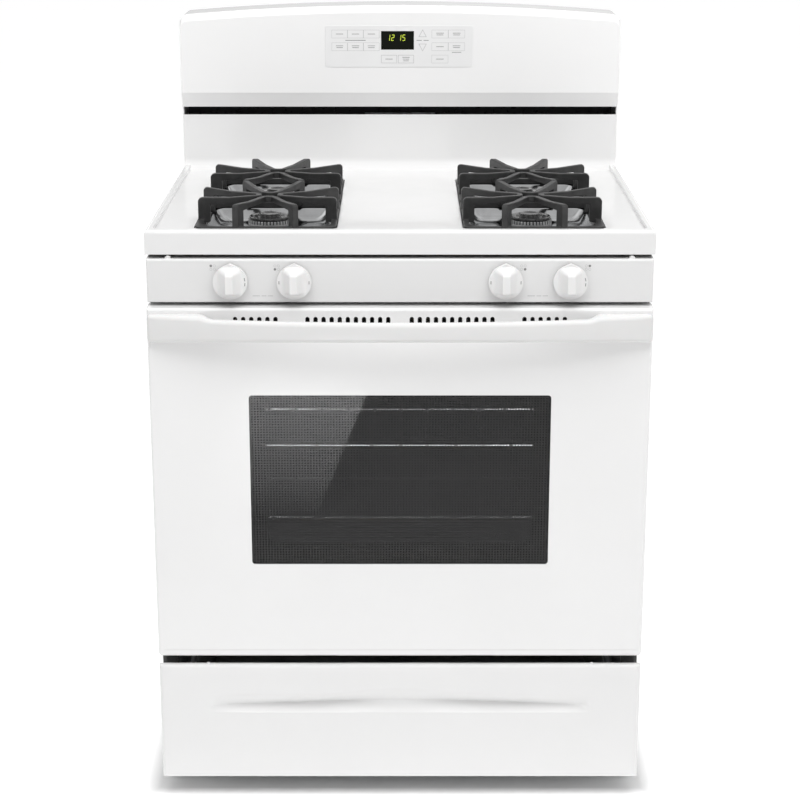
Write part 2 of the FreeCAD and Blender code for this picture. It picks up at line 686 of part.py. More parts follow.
def backguard_rear_cover():
    """Back of the backguard, with the two cheeks that carry it above the cooktop."""
    arch = Part.Face(arch_outline(0.5, REAR_Y)).extrude(Vector(0, THIN, 0))
    lower = box(-HALF, HALF, REAR_Y, BACK_Y, 880, GUARD_LOW + 2)
    cheek = box(HALF - SHEET, HALF, RISER_Y + SHEET + 0.3, BACK_Y, COOKTOP_HEIGHT - 30, GUARD_LOW)
    plate = fuse([arch, lower, cheek, mirrored(cheek)])
    louvres = [upright_slab(x - 30, x + 30, BACK_Y - 3, BACK_Y + 1, 1100 + 14 * row, 1104 + 14 * row, 1.9)
               for row in range(4) for x in (-220, -140, 140, 220)]
    return cut(plate, louvres)


def vent_baffle():
    z = RISER_TOP - 12
    plate = box(-HALF + SHEET + 0.3, HALF - SHEET - 0.3, RISER_Y + SHEET + 0.3, REAR_Y - 0.3, z, z + THIN)
    lip = box(-HALF + SHEET + 0.3, HALF - SHEET - 0.3, REAR_Y - 2, REAR_Y - 0.3, z, GUARD_LOW - 0.3)
    flue = box(-62.3, 62.3, 301.7, 345.3, z - 1, z + 3)
    return cut(fuse([plate, lip]), [flue])


def keypad_overlay():
    x0, x1, z0, z1 = KEYPAD
    sheet = upright_slab(x0, x1, GUARD_Y - 0.6, GUARD_Y, z0, z1, 4)
    dx0, dx1, dz0, dz1 = DISPLAY
    return cut(sheet, [box(dx0, dx1, GUARD_Y - 2, GUARD_Y + 2, dz0, dz1)])


def display_lens():
    x0, x1, z0, z1 = DISPLAY
    front = box(x0 + 0.2, x1 - 0.2, GUARD_Y - 0.5, GUARD_Y + SHEET, z0 + 0.2, z1 - 0.2)
    flange = box(x0 - 4, x1 + 4, GUARD_Y + SHEET, GUARD_Y + SHEET + 1.5, z0 - 4, z1 + 4)
    return fuse([front, flange])


def control_board():
    x0, x1, z0, z1 = KEYPAD
    board = box(x0 + 8, x1 - 8, GUARD_Y + 16, GUARD_Y + 17.6, z0, z1 - 8)
    dx0, dx1, dz0, dz1 = DISPLAY
    display = box(dx0 + 3, dx1 - 3, GUARD_Y + 5, GUARD_Y + 16, dz0 + 3, dz1 - 3)
    relays = [box(x, x + 18, GUARD_Y + 17.6, GUARD_Y + 36, 1092, 1106) for x in (-100, -74, -48, 60, 86)]
    transformer = box(-20, 30, GUARD_Y + 17.6, GUARD_Y + 52, 1090, 1130)
    return fuse([board, display, transformer] + relays)


# ---- control panel and knobs --------------------------------------------------------
def control_panel():
    z0, z1 = PANEL_Z
    back = PANEL_Y + PANEL_DEPTH
    outer = box(-DOOR_HALF, DOOR_HALF, PANEL_Y, back, z0, z1)
    outer = fillet_where(outer, 3.5, on_front(PANEL_Y))
    inner = box(-DOOR_HALF + SHEET, DOOR_HALF - SHEET, PANEL_Y + SHEET, back + 1, z0 + SHEET, z1 - SHEET)
    tabs = [rod((side * 345, PANEL_Y + 6, z1 - 0.5), (side * 345, PANEL_Y + 20, z1 - 0.5), 4.5)
            for side in (-1, 1)]
    tabs = [tab.common(box(-400, 400, -400, 0, z1 - 1, z1 + 10)) for tab in tabs]
    holes = [rod((x, PANEL_Y - 1, KNOB_Z), (x, PANEL_Y + 4, KNOB_Z), 7) for x in KNOB_X.values()]
    return fuse([cut(outer, [inner] + holes)] + tabs)


def knob(x):
    """Knob pressed on its D-section stem; the stem is the node's second solid."""
    skirt_front = KNOB_BACK - KNOB_SKIRT
    skirt = Part.makeCone(KNOB_R, KNOB_R - 1.5, KNOB_SKIRT, Vector(x, KNOB_BACK, KNOB_Z), Vector(0, -1, 0))
    pointer = prism_pointer(x)
    grip = upright_slab(x - 7, x + 7, KNOB_FRONT, skirt_front + 1, KNOB_Z - KNOB_R + 2, KNOB_Z + KNOB_R - 1, 5)
    boss = rod((x, KNOB_BACK, KNOB_Z), (x, KNOB_BACK + 2, KNOB_Z), 6)
    stem_end = KNOB_FRONT + 6
    stem = rod((x, STEM_BACK, KNOB_Z), (x, stem_end, KNOB_Z), STEM_R)
    flat = box(x - 5, x + 5, stem_end - 1, -304, KNOB_Z + 2.6, KNOB_Z + 5)
    stem = cut(stem, [flat])
    body = cut(fuse([skirt, pointer, grip, boss]), [stem])
    return Part.Compound([body, stem])


def prism_pointer(x):
    tip = KNOB_Z + KNOB_R + 2.5
    points = [(x - 9, KNOB_BACK, KNOB_Z + KNOB_R - 3.5), (x, KNOB_BACK, tip), (x + 9, KNOB_BACK, KNOB_Z + KNOB_R - 3.5)]
    return polygon(points).extrude(Vector(0, -KNOB_SKIRT, 0))


# ---- door ---------------------------------------------------------------------------
def slot_centres():
    places = []
    for first, count in SLOT_ROWS:
        for index in range(count):
            x = first + SLOT_PITCH * index
            places += [-x, x]
    return places


def vent_slot(x, y0, y1):
    z0, z1 = SLOT_Z
    radius = SLOT_W / 2
    foot = box(x - radius, x + radius, y0, y1, z0, z1 - radius)
    arch = rod((x, y0, z1 - radius), (x, y1, z1 - radius), radius)
    return foot.fuse(arch)


def rounded_pan(y0, y1, z0, z1, inset, radius, foot_radius):
    """Block with a rounded front: foot_radius along its lower front edge, radius on the others."""
    half = DOOR_HALF - inset
    y0, z0, z1 = y0 + inset, z0 + inset, z1 - inset
    block = box(-half, half, y0, y1, z0, z1)
    front = on_front(y0)
    block = fillet_where(block, foot_radius - inset, lambda b: front(b) and b.ZMax < z0 + 1)
    return fillet_where(block, radius - inset, lambda b: front(b) and b.ZMax > z1 - 1)


def door_outer_panel():
    z0, z1 = DOOR_Z
    outer = rounded_pan(FACE_Y, PAN_BACK, z0, z1, 0, 5, 9)
    inner = rounded_pan(FACE_Y, PAN_BACK + 1, z0, z1, SHEET, 5, 9)
    half, w0, w1 = WINDOW
    window = upright_slab(-half, half, FACE_Y - 1, FACE_Y + 4, w0, w1, 5)
    slots = [vent_slot(x, FACE_Y - 1, FACE_Y + 3) for x in slot_centres()]
    screws = [rod((x, FACE_Y - 1, z), (x, FACE_Y + 3, z), 2.7) for x, z in handle_screw_places()]
    notches = [box(side * HINGE_X - 9.5, side * HINGE_X + 9.5, HINGE[0] - 16, PAN_BACK + 1, z0 - 1, z0 + 15)
               for side in (-1, 1)]
    inlet = box(INLET_X[0], INLET_X[1], FACE_Y + 1, PAN_BACK - 12, z0 - 1, z0 + INLET_HIGH)
    reach, above, width, depth = CREASE
    crease = box(-reach, reach, FACE_Y - 1, FACE_Y + depth, z0 + above, z0 + above + width)
    return cut(outer, [inner, window, inlet, mirrored(inlet), crease] + slots + screws + notches)


def door_window():
    half, z0, z1 = WINDOW
    return upright_slab(-half - 12, half + 12, FACE_Y + SHEET + 0.1, FACE_Y + SHEET + 3.6, z0 - 12, z1 + 12, 8)


def door_inner_panel():
    half = DOOR_HALF - SHEET
    top = DOOR_Z[1] - SHEET
    outer = box(-half, half, PAN_BACK, DOOR_BACK, STEP_Z, top)
    outer = fillet_where(outer, 4, lambda b: abs(b.YMin - DOOR_BACK) < 0.01)
    inner = box(-half + THIN, half - THIN, PAN_BACK - 1, DOOR_BACK - THIN, STEP_Z + THIN, top - THIN)
    lower = box(-half, half, PAN_BACK, PAN_BACK + THIN, DOOR_Z[0] + SHEET, STEP_Z + THIN)
    w_half, w0, w1 = INNER_WINDOW
    window = upright_slab(-w_half, w_half, DOOR_BACK - 5, DOOR_BACK + 1, w0, w1, 12)
    notches = [box(side * HINGE_X - 9.5, side * HINGE_X + 9.5, PAN_BACK - 1, PAN_BACK + 3, DOOR_Z[0], STEP_Z)
               for side in (-1, 1)]
    return cut(fuse([cut(outer, [inner]), lower]), [window] + notches)


def door_inner_glass():
    half, z0, z1 = INNER_WINDOW
    y = DOOR_BACK - THIN
    return upright_slab(-half - 10, half + 10, y - 3.3, y - 0.1, z0 - 10, z1 + 10, 8)


def door_insulation():
    half, z0, z1 = INNER_WINDOW
    y0, y1 = FACE_Y + SHEET + 4.5, PAN_BACK - 1
    slab = box(-330, 330, y0, y1, STEP_Z + 12, 735)
    return cut(slab, [box(-half - 36, half + 36, y0 - 1, y1 + 1, z0 - 34, z1 + 34)])


def handle_screw_places():
    return [(side * 335.0, z) for side in (-1, 1) for z in (764.0, 780.0)]


def handle_screws():
    screws = []
    for x, z in handle_screw_places():
        shaft = rod((x, FACE_Y - 8, z), (x, FACE_Y + SHEET, z), 2.4)
        head = rod((x, FACE_Y + SHEET, z), (x, FACE_Y + SHEET + 3, z), 5)
        screws.append(fuse([shaft, head]))
    return Part.Compound(screws)


def bow_face(back_arc):
    half = HANDLE_HALF
    front_end, front_mid = HANDLE_END_Y, HANDLE_Y
    left, right = Vector(-half, front_end, 0), Vector(half, front_end, 0)
    front = Part.Arc(left, Vector(0, front_mid, 0), right).toShape()
    if back_arc:
        back_l, back_r = Vector(-half, front_end + HANDLE_BAR, 0), Vector(half, front_end + HANDLE_BAR, 0)
        back = Part.Arc(back_l, Vector(0, front_mid + HANDLE_BAR, 0), back_r).toShape()
    else:
        back_l, back_r = Vector(-half, FACE_Y, 0), Vector(half, FACE_Y, 0)
        back = Part.makeLine(back_l, back_r)
    sides = [Part.makeLine(left, back_l), Part.makeLine(right, back_r)]
    return Part.Face(Part.Wire(Part.__sortEdges__([front, back] + sides)))


def door_handle():
    z0, z1 = HANDLE_Z
    bar = bow_face(True).extrude(Vector(0, 0, z1 - z0))
    bar.translate(Vector(0, 0, z0))
    bar = bar.common(box(-HANDLE_HALF, HANDLE_HALF, HANDLE_Y - 1, FACE_Y, z0, z1))
    e0, e1 = HANDLE_END_Z
    ends = bow_face(False).extrude(Vector(0, 0, e1 - e0))
    ends.translate(Vector(0, 0, e0))
    ends = cut(ends, [box(-HANDLE_GAP_X, HANDLE_GAP_X, HANDLE_Y - 1, FACE_Y, e0 - 1, e1 + 1)])
    holes = [rod((x, FACE_Y - 8.2, z), (x, FACE_Y, z), 2.5) for x, z in handle_screw_places()]
    return cut(fuse([bar] + ends.Solids), holes)


def hinge_arms():
    y, z = HINGE
    arms = []
    for side in (-1, 1):
        cheeks = []
        for offset in (-6.5, 6.5):
            x = side * HINGE_X + offset
            eye = rod((x - 1.5, y, z), (x + 1.5, y, z), 11)
            strap = box(x - 1.5, x + 1.5, y - 10, y + 8, z, 420)
            cheeks.append(fuse([eye, strap]))
        web = box(side * HINGE_X - 5.2, side * HINGE_X + 5.2, y - 10, y + 8, z + 22, 420)
        bore = rod((side * HINGE_X - 12, y, z), (side * HINGE_X + 12, y, z), PIN_R + 0.05)
        arms.append(cut(fuse(cheeks + [web]), [bore]))
    return Part.Compound(arms)


def hinge_receivers():
    y, z = HINGE
    parts = []
    for side in (-1, 1):
        x = side * HINGE_X
        ear = fuse([rod((x - 3.5, y, z), (x + 3.5, y, z), 8), box(x - 3.5, x + 3.5, y, -250, z - 8, z + 8)])
        block = box(x - 10, x + 10, FRAME_Y + FRAME_T + 0.2, -150, z - 14, z + 14)
        pin = rod((x - 9, y, z), (x + 9, y, z), PIN_R)
        parts.append(fuse([ear, block, pin]))
    return Part.Compound(parts)


# ---- drawer -------------------------------------------------------------------------
def scoop_cutter(shift):
    """Finger recess: slopes in and down from the face, then a ledge comes back out."""
    y = FACE_Y + shift
    groove = prism_x([(y - 4, 196), (y, 196), (y + 13, 166), (y + 1, 149), (y - 4, 149)], -300, 300)
    lens = Part.Face(Part.Wire([Part.Ellipse(Vector(0, 0, 0), 292, 34).toShape()]))
    lens = lens.extrude(Vector(0, 0, 40))
    lens.rotate(Vector(0, 0, 0), Vector(1, 0, 0), 90)
    lens.translate(Vector(0, FACE_Y + 30, 170))
    return groove.common(lens)


def drawer_front():
    z0, z1 = DRAWER_Z
    outer = rounded_pan(FACE_Y, DRAWER_BACK, z0, z1, 0, 7, 5)
    inner = rounded_pan(FACE_Y, DRAWER_BACK + 1, z0, z1, SHEET, 7, 5)
    inner = inner.cut(scoop_cutter(SHEET + 0.5))
    half = DOOR_HALF + 1
    relief = box(-half, half, FACE_Y + DRAWER_FLANGE, DRAWER_BACK + 1, z1 - DRAWER_RELIEF, z1 + 1)
    y = FACE_Y + BUMPER_IN
    bumper = rod((BUMPER_X, y, z1 - 1), (BUMPER_X, y, z1 + BUMPER_HIGH), BUMPER_R)
    return fuse([cut(outer, [inner, scoop_cutter(0), relief]), bumper, mirrored(bumper)])


def drawer_box():
    y0, y1 = BOX_Y
    z0, z1 = BOX_Z
    tray = cut(box(-BOX_HALF, BOX_HALF, y0, y1, z0, z1),
               [box(-BOX_HALF + THIN, BOX_HALF - THIN, y0 + THIN, y1 - THIN, z0 + THIN, z1 + 1)])
    r0, r1 = RUNNER_Z
    x0, x1 = BOX_HALF - THIN, BOX_HALF + 14
    runner = box(x0, x1, y0 + 6, y1 - 4, r0, r1)
    runner = cut(runner, [box(BOX_HALF, x1 - SHEET, y0, y1, r0 + SHEET, r1 - SHEET)])
    return fuse([tray, runner, mirrored(runner)])


def drawer_rails():
    z0, z1 = RUNNER_Z
    x0, x1 = BOX_HALF + 6, BOX_HALF + 18
    y0, y1 = -250.0, 300.0
    channel = cut(box(x0, x1, y0, y1, z0 - 3, z1 + 3),
                  [box(x0 - 1, x1 - 2, y0 - 1, y1 - 2, z0 - 1, z1 + 1)])
    brackets = [box(x1 - 1, SIDE_X - THIN, y, y + 20, z0, z1) for y in (-200, 30, 250)]
    right = fuse([channel] + brackets)
    return Part.Compound([right, mirrored(right)])


def build():
    nodes = {
        "side_panel_right": side_panel_right(),
        "side_panel_left": mirrored(side_panel_right()),
        "rear_panel": rear_panel(),
        "panel_screws": panel_screws(),
        "base_frame": base_frame(),
        "leveling_feet": leveling_feet(),
        "oven_front_frame": oven_front_frame(),
        "oven_liner": oven_liner(),
        "oven_insulation": oven_insulation(),
        "door_gasket": door_gasket(),
        "oven_floor_plate": oven_floor_plate(),
        "oven_burners": oven_burners(),
        "oven_igniters": oven_igniters(),
        "oven_light": oven_light(),
        "rack_guides": rack_guides(),
        "oven_rack_lower": oven_rack(RACK_Z[0]),
        "oven_rack_upper": oven_rack(RACK_Z[1]),
        "flue_duct": flue_duct(),
        "cooktop": cooktop(),
        "drip_pans": drip_pans(),
        "burner_bases": burner_bases(),
        "burner_caps": burner_caps(),
        "gas_manifold": gas_manifold(),
        "gas_regulator": gas_regulator(),
        "gas_valves": gas_valves(),
        "burner_tubes": burner_tubes(),
        "spark_electrodes": spark_electrodes(),
        "spark_module": spark_module(),
        "power_inlet": power_inlet(),
        "backguard_panel": backguard_panel(),
        "backguard_rear_cover": backguard_rear_cover(),
        "vent_baffle": vent_baffle(),
        "keypad_overlay": keypad_overlay(),
        "display_lens": display_lens(),
        "control_board": control_board(),
        "control_panel": control_panel(),
        "door_outer_panel": door_outer_panel(),
        "door_window": door_window(),
        "door_inner_panel": door_inner_panel(),
        "door_inner_glass": door_inner_glass(),
        "door_insulation": door_insulation(),
        "door_handle": door_handle(),
        "handle_screws": handle_screws(),
        "hinge_arms": hinge_arms(),
        "hinge_receivers": hinge_receivers(),
        "drawer_front": drawer_front(),
        "drawer_box": drawer_box(),
        "drawer_rails": drawer_rails(),
    }
    for name, (x, y) in zip(("left_front", "left_rear", "right_front", "right_rear"), burner_places()):
        nodes["grate_" + name] = grate(x, y)
    for name, x in KNOB_X.items():
        nodes["knob_" + name] = knob(x)
        nodes["valve_plug_" + name] = valve_plug(x)
    return nodes


os.makedirs("parts", exist_ok=True)
for name, shape in build().items():
    shape.exportStep("parts/%s.step" % name)
    bounds = shape.BoundBox
    print(name, len(shape.Solids), shape.isValid(), round(shape.Volume / 1000, 1),
          [round(v, 1) for v in (bounds.XMin, bounds.XMax, bounds.YMin, bounds.YMax, bounds.ZMin, bounds.ZMax)])
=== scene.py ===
"""Looks of the freestanding gas range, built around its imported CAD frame.

Everything is in metres in the frame's own axes: +Z up, +X to the right when facing the door, -Y out of
the door. Lengths written as a number times MM are millimetres.
"""

import json
import math

import bmesh
import bpy
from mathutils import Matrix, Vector


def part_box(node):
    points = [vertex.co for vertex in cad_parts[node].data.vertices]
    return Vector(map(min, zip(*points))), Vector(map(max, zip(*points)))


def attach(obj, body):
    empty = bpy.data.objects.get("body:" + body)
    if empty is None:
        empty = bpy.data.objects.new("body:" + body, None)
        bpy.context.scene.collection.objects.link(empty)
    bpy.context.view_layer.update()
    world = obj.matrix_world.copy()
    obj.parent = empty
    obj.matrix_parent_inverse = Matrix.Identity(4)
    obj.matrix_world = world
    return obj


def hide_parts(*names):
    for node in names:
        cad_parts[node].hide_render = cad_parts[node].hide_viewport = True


MM = 0.001
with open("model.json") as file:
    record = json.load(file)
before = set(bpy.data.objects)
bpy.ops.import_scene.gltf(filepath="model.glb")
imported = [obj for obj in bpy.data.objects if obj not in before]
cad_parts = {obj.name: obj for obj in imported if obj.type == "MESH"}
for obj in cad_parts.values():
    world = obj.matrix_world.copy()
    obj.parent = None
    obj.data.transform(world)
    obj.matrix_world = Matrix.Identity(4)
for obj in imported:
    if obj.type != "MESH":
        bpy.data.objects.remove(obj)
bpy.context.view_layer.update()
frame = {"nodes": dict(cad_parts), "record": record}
BURNER_SPOTS = ("left_front", "left_rear", "right_front", "right_rear")


# ---- node helpers -------------------------------------------------------------------
def add_node(made, kind, inputs=None, **settings):
    """A new shader node. Settings are its properties; inputs are socket values, or sockets to link from."""
    new = made.node_tree.nodes.new(kind)
    for key, value in settings.items():
        setattr(new, key, value)
    for key, value in (inputs or {}).items():
        if isinstance(value, bpy.types.NodeSocket):
            made.node_tree.links.new(value, new.inputs[key])
        else:
            new.inputs[key].default_value = value
    return new


def shader_of(made):
    return made.node_tree.nodes["Principled BSDF"]


def principled(name, colour, roughness, metallic=0.0, sockets=None):
    """A material whose constant values sit on its shader's own sockets."""
    made = bpy.data.materials.new(name)
    made.use_nodes = True
    shader = shader_of(made)
    shader.inputs["Base Color"].default_value = (*colour, 1.0)
    shader.inputs["Roughness"].default_value = roughness
    shader.inputs["Metallic"].default_value = metallic
    for key, value in (sockets or {}).items():
        shader.inputs[key].default_value = value
    return made


def place_on_object(made, stretch=(1.0, 1.0, 1.0)):
    """Object coordinates, squeezed along each axis by stretch."""
    spot = add_node(made, "ShaderNodeTexCoord").outputs["Object"]
    return add_node(made, "ShaderNodeMapping", {"Vector": spot, "Scale": stretch}).outputs["Vector"]


def noise_field(made, grain_mm, detail=2.0, stretch=(1.0, 1.0, 1.0)):
    """Smooth noise whose blobs are about grain_mm wide."""
    inputs = {"Vector": place_on_object(made, stretch), "Scale": 1 / (grain_mm * MM), "Detail": detail}
    return add_node(made, "ShaderNodeTexNoise", inputs).outputs["Fac"]


def add_bump(made, height, depth_mm, strength=1.0):
    """Raises the surface by height times depth_mm, on top of any bump already there."""
    shader = shader_of(made)
    inputs = {"Height": height, "Distance": depth_mm * MM, "Strength": strength}
    if shader.inputs["Normal"].links:
        inputs["Normal"] = shader.inputs["Normal"].links[0].from_socket
    bump = add_node(made, "ShaderNodeBump", inputs)
    made.node_tree.links.new(bump.outputs["Normal"], shader.inputs["Normal"])


def vary_colour(made, field, stops):
    """Colours the surface by a field: stops are (place, colour) pairs."""
    ramp = add_node(made, "ShaderNodeValToRGB", {"Fac": field})
    elements = ramp.color_ramp.elements
    for spare in list(elements)[2:]:
        elements.remove(spare)
    for index, (place, colour) in enumerate(stops):
        element = elements[index] if index < 2 else elements.new(place)
        element.position = place
        element.color = (*colour, 1.0)
    made.node_tree.links.new(ramp.outputs["Color"], shader_of(made).inputs["Base Color"])


def vary_roughness(made, field, low, high):
    span = add_node(made, "ShaderNodeMapRange", {"Value": field, "To Min": low, "To Max": high})
    made.node_tree.links.new(span.outputs["Result"], shader_of(made).inputs["Roughness"])


def tone(value, warmth=0.0):
    """A near grey of that linear brightness, a little warm or cool."""
    return (value * (1 + warmth), value, value * (1 - warmth))


# ---- materials ----------------------------------------------------------------------
def white_enamel(name, value):
    """Porcelain on steel: glossy, with the faint orange peel of the firing."""
    made = principled(name, tone(value), 0.16, sockets={"Coat Weight": 0.35, "Coat Roughness": 0.05})
    vary_colour(made, noise_field(made, 180), [(0.3, tone(value, 0.002)), (0.7, tone(value + 0.015, 0.002))])
    vary_roughness(made, noise_field(made, 40), 0.13, 0.2)
    add_bump(made, noise_field(made, 9, 1.0), 0.010)
    return made


def panel_enamel_ground_coat_and_shade():
    """The side panels: white outside; their inner face and flanges are dark, partly for the ground coat and
    partly as painted shade in the gaps round the door and drawer.
    """
    made = white_enamel("panel_enamel_ground_coat_and_shade", 0.79)
    colour = shader_of(made).inputs["Base Color"].links[0].from_socket
    across = add_node(made, "ShaderNodeSeparateXYZ", {"Vector": place_on_object(made)}).outputs["X"]
    aside = add_node(made, "ShaderNodeMath", {0: across}, operation="ABSOLUTE").outputs[0]
    outside = add_node(made, "ShaderNodeMapRange", {
        "Value": aside, "From Min": 376.6 * MM, "From Max": 376.9 * MM}).outputs["Result"]
    shade = add_node(made, "ShaderNodeMix", {0: outside, 7: colour}, data_type="RGBA")
    # The dark inner colour is partly the ground coat and partly painted shade for the gaps between the parts.
    shade.inputs[6].default_value = (*tone(0.012), 1.0)
    made.node_tree.links.new(shade.outputs[2], shader_of(made).inputs["Base Color"])
    return made


def drawer_paint():
    """The drawer front's paint, a touch rougher than the fired enamel."""
    made = principled("drawer_paint", tone(0.80), 0.22, sockets={"Coat Weight": 0.2, "Coat Roughness": 0.1})
    vary_colour(made, noise_field(made, 150), [(0.3, tone(0.80, 0.002)), (0.7, tone(0.812, 0.002))])
    vary_roughness(made, noise_field(made, 30), 0.2, 0.28)
    add_bump(made, noise_field(made, 6, 1.0), 0.008)
    return made


def moulded_white(name, value, roughness):
    """White moulded plastic with a very fine skin texture."""
    made = principled(name, tone(value), roughness,
                      sockets={"Subsurface Weight": 0.03, "Subsurface Scale": 0.002})
    vary_colour(made, noise_field(made, 60), [(0.3, tone(value, 0.004)), (0.7, tone(value + 0.015, 0.004))])
    vary_roughness(made, noise_field(made, 12), roughness - 0.03, roughness + 0.05)
    add_bump(made, noise_field(made, 0.9, 3.0), 0.006)
    return made


def galvanised_steel():
    """Zinc-coated sheet: flat crystals a centimetre wide in slightly different greys."""
    made = principled("galvanised_steel", tone(0.5), 0.4, 0.9)
    inputs = {"Vector": place_on_object(made), "Scale": 1 / (11 * MM)}
    crystals = add_node(made, "ShaderNodeTexVoronoi", inputs).outputs["Color"]
    value = add_node(made, "ShaderNodeSeparateColor", {"Color": crystals}).outputs["Red"]
    vary_colour(made, value, [(0.0, tone(0.42, -0.02)), (1.0, tone(0.6, -0.02))])
    vary_roughness(made, value, 0.32, 0.5)
    add_bump(made, noise_field(made, 1.5, 3.0), 0.01)
    return made


def black_enamel():
    made = principled("black_enamel", tone(0.012), 0.25)
    vary_colour(made, noise_field(made, 25), [(0.3, tone(0.010)), (0.7, tone(0.016))])
    vary_roughness(made, noise_field(made, 8), 0.22, 0.36)
    add_bump(made, noise_field(made, 3, 2.0), 0.02)
    return made


def grate_enamel():
    """Satin porcelain on cast iron: pitted by the casting, a little rubbed."""
    made = principled("grate_enamel", tone(0.028), 0.42, sockets={"Specular IOR Level": 0.6})
    vary_colour(made, noise_field(made, 14, 4.0), [(0.35, tone(0.022)), (0.7, tone(0.036))])
    vary_roughness(made, noise_field(made, 5, 3.0), 0.34, 0.52)
    add_bump(made, noise_field(made, 1.4, 4.0), 0.09)
    return made


def cap_enamel():
    """Glossy black porcelain of the burner caps."""
    made = principled("cap_enamel", tone(0.02), 0.12, sockets={"Coat Weight": 0.5})
    vary_colour(made, noise_field(made, 9, 3.0), [(0.35, tone(0.014)), (0.7, tone(0.026))])
    vary_roughness(made, noise_field(made, 6), 0.1, 0.2)
    add_bump(made, noise_field(made, 2.5), 0.015)
    return made


def oven_enamel():
    """The liner's dark porcelain with its scattered pale flecks."""
    made = principled("oven_enamel", tone(0.03), 0.3)
    flecks = noise_field(made, 1.6, 1.0)
    vary_colour(made, flecks, [(0.62, (0.02, 0.022, 0.028)), (0.68, tone(0.35))])
    vary_roughness(made, noise_field(made, 10), 0.25, 0.4)
    add_bump(made, noise_field(made, 4), 0.03)
    return made


def bright_chrome():
    """Chrome plate, faintly rippled over the pressed steel."""
    made = principled("bright_chrome", tone(0.6, -0.01), 0.1, 1.0)
    vary_roughness(made, noise_field(made, 18, 3.0), 0.07, 0.18)
    vary_colour(made, noise_field(made, 30), [(0.3, tone(0.52, -0.01)), (0.7, tone(0.64, -0.01))])
    add_bump(made, noise_field(made, 20, 1.0), 0.12)
    return made


def steel_wire():
    """Nickel-plated wire and plain steel brackets, drawn along their length."""
    made = principled("steel", tone(0.55), 0.28, 1.0)
    vary_colour(made, noise_field(made, 8, 3.0), [(0.3, tone(0.48)), (0.7, tone(0.62))])
    vary_roughness(made, noise_field(made, 5, 3.0), 0.22, 0.38)
    add_bump(made, noise_field(made, 1.2, 2.0), 0.01)
    return made


def cast_aluminium():
    """Die-cast burner metal, sandy and light."""
    made = principled("cast_aluminium", tone(0.72), 0.34, 1.0)
    vary_colour(made, noise_field(made, 5, 3.0), [(0.3, tone(0.62)), (0.7, tone(0.8))])
    vary_roughness(made, noise_field(made, 3, 3.0), 0.26, 0.42)
    add_bump(made, noise_field(made, 0.7, 3.0), 0.03)
    return made


def valve_brass():
    made = principled("valve_brass", (0.72, 0.5, 0.2), 0.3, 1.0)
    vary_colour(made, noise_field(made, 6, 3.0), [(0.3, (0.6, 0.41, 0.16)), (0.7, (0.75, 0.54, 0.24))])
    vary_roughness(made, noise_field(made, 4), 0.22, 0.42)
    add_bump(made, noise_field(made, 1.0), 0.01)
    return made


def glass_wool():
    """Matted yellow fibre."""
    made = principled("glass_wool", (0.75, 0.58, 0.2), 0.95, sockets={"Sheen Weight": 0.4})
    fibres = noise_field(made, 2.5, 5.0, (1.0, 1.0, 6.0))
    vary_colour(made, fibres, [(0.3, (0.55, 0.4, 0.13)), (0.7, (0.82, 0.66, 0.28))])
    add_bump(made, fibres, 1.2)
    return made


def gasket_braid():
    """Woven glass-fibre rope round the oven's mouth."""
    made = principled("gasket_braid", tone(0.25), 0.9, sockets={"Sheen Weight": 0.3})
    inputs = {"Vector": place_on_object(made), "Scale": 1 / (9 * MM), "Distortion": 2.0}
    strands = add_node(made, "ShaderNodeTexWave", inputs, bands_direction="DIAGONAL").outputs["Fac"]
    vary_colour(made, strands, [(0.2, tone(0.14, 0.03)), (0.8, tone(0.34, 0.03))])
    add_bump(made, strands, 0.6)
    return made


def black_plastic(name, roughness):
    made = principled(name, tone(0.02), roughness)
    vary_colour(made, noise_field(made, 10), [(0.3, tone(0.016)), (0.7, tone(0.026))])
    vary_roughness(made, noise_field(made, 5), roughness - 0.06, roughness + 0.08)
    add_bump(made, noise_field(made, 0.8, 2.0), 0.02)
    return made


def circuit_board():
    """Green lacquered board with its copper traces showing through."""
    made = principled("circuit_board", (0.02, 0.16, 0.06), 0.3)
    inputs = {"Vector": place_on_object(made), "Scale": 220.0, "Mortar Size": 0.03}
    traces = add_node(made, "ShaderNodeTexBrick", inputs).outputs["Fac"]
    vary_colour(made, traces, [(0.4, (0.015, 0.13, 0.05)), (0.6, (0.05, 0.24, 0.09))])
    add_bump(made, traces, 0.04)
    return made


def light_glass():
    """The oven lamp's frosted envelope."""
    made = principled("light_glass", tone(0.8, 0.03), 0.25, sockets={"Alpha": 0.75})
    vary_colour(made, noise_field(made, 10), [(0.3, tone(0.75, 0.04)), (0.7, tone(0.85, 0.03))])
    add_bump(made, noise_field(made, 2.0), 0.03)
    return made


def printed_glass():
    """The door's outer glass: a black print of fine crossed lines that leaves small clear windows."""
    made = principled("window_glass", tone(0.03), 0.02, sockets={"IOR": 1.52, "Specular IOR Level": 0.32})
    spot = place_on_object(made)
    axes = add_node(made, "ShaderNodeSeparateXYZ", {"Vector": spot})
    shades = []
    for axis, pitch in (("X", 4.4 * MM), ("Z", 4.1 * MM)):
        turns = add_node(made, "ShaderNodeMath", {0: axes.outputs[axis], 1: math.tau / pitch},
                         operation="MULTIPLY")
        wave = add_node(made, "ShaderNodeMath", {0: turns.outputs[0]}, operation="SINE")
        shades.append(add_node(made, "ShaderNodeMapRange", {
            "Value": wave.outputs[0], "From Min": -0.5, "From Max": 0.2}).outputs["Result"])
    window = add_node(made, "ShaderNodeMath", {0: shades[0], 1: shades[1]}, operation="MULTIPLY")
    alpha = add_node(made, "ShaderNodeMapRange", {
        "Value": window.outputs[0], "To Min": 0.92, "To Max": 0.15})
    made.node_tree.links.new(alpha.outputs["Result"], shader_of(made).inputs["Alpha"])
    vary_colour(made, window.outputs[0], [(0.1, tone(0.026)), (0.7, tone(0.003))])
    vary_roughness(made, noise_field(made, 90), 0.015, 0.035)
    return made


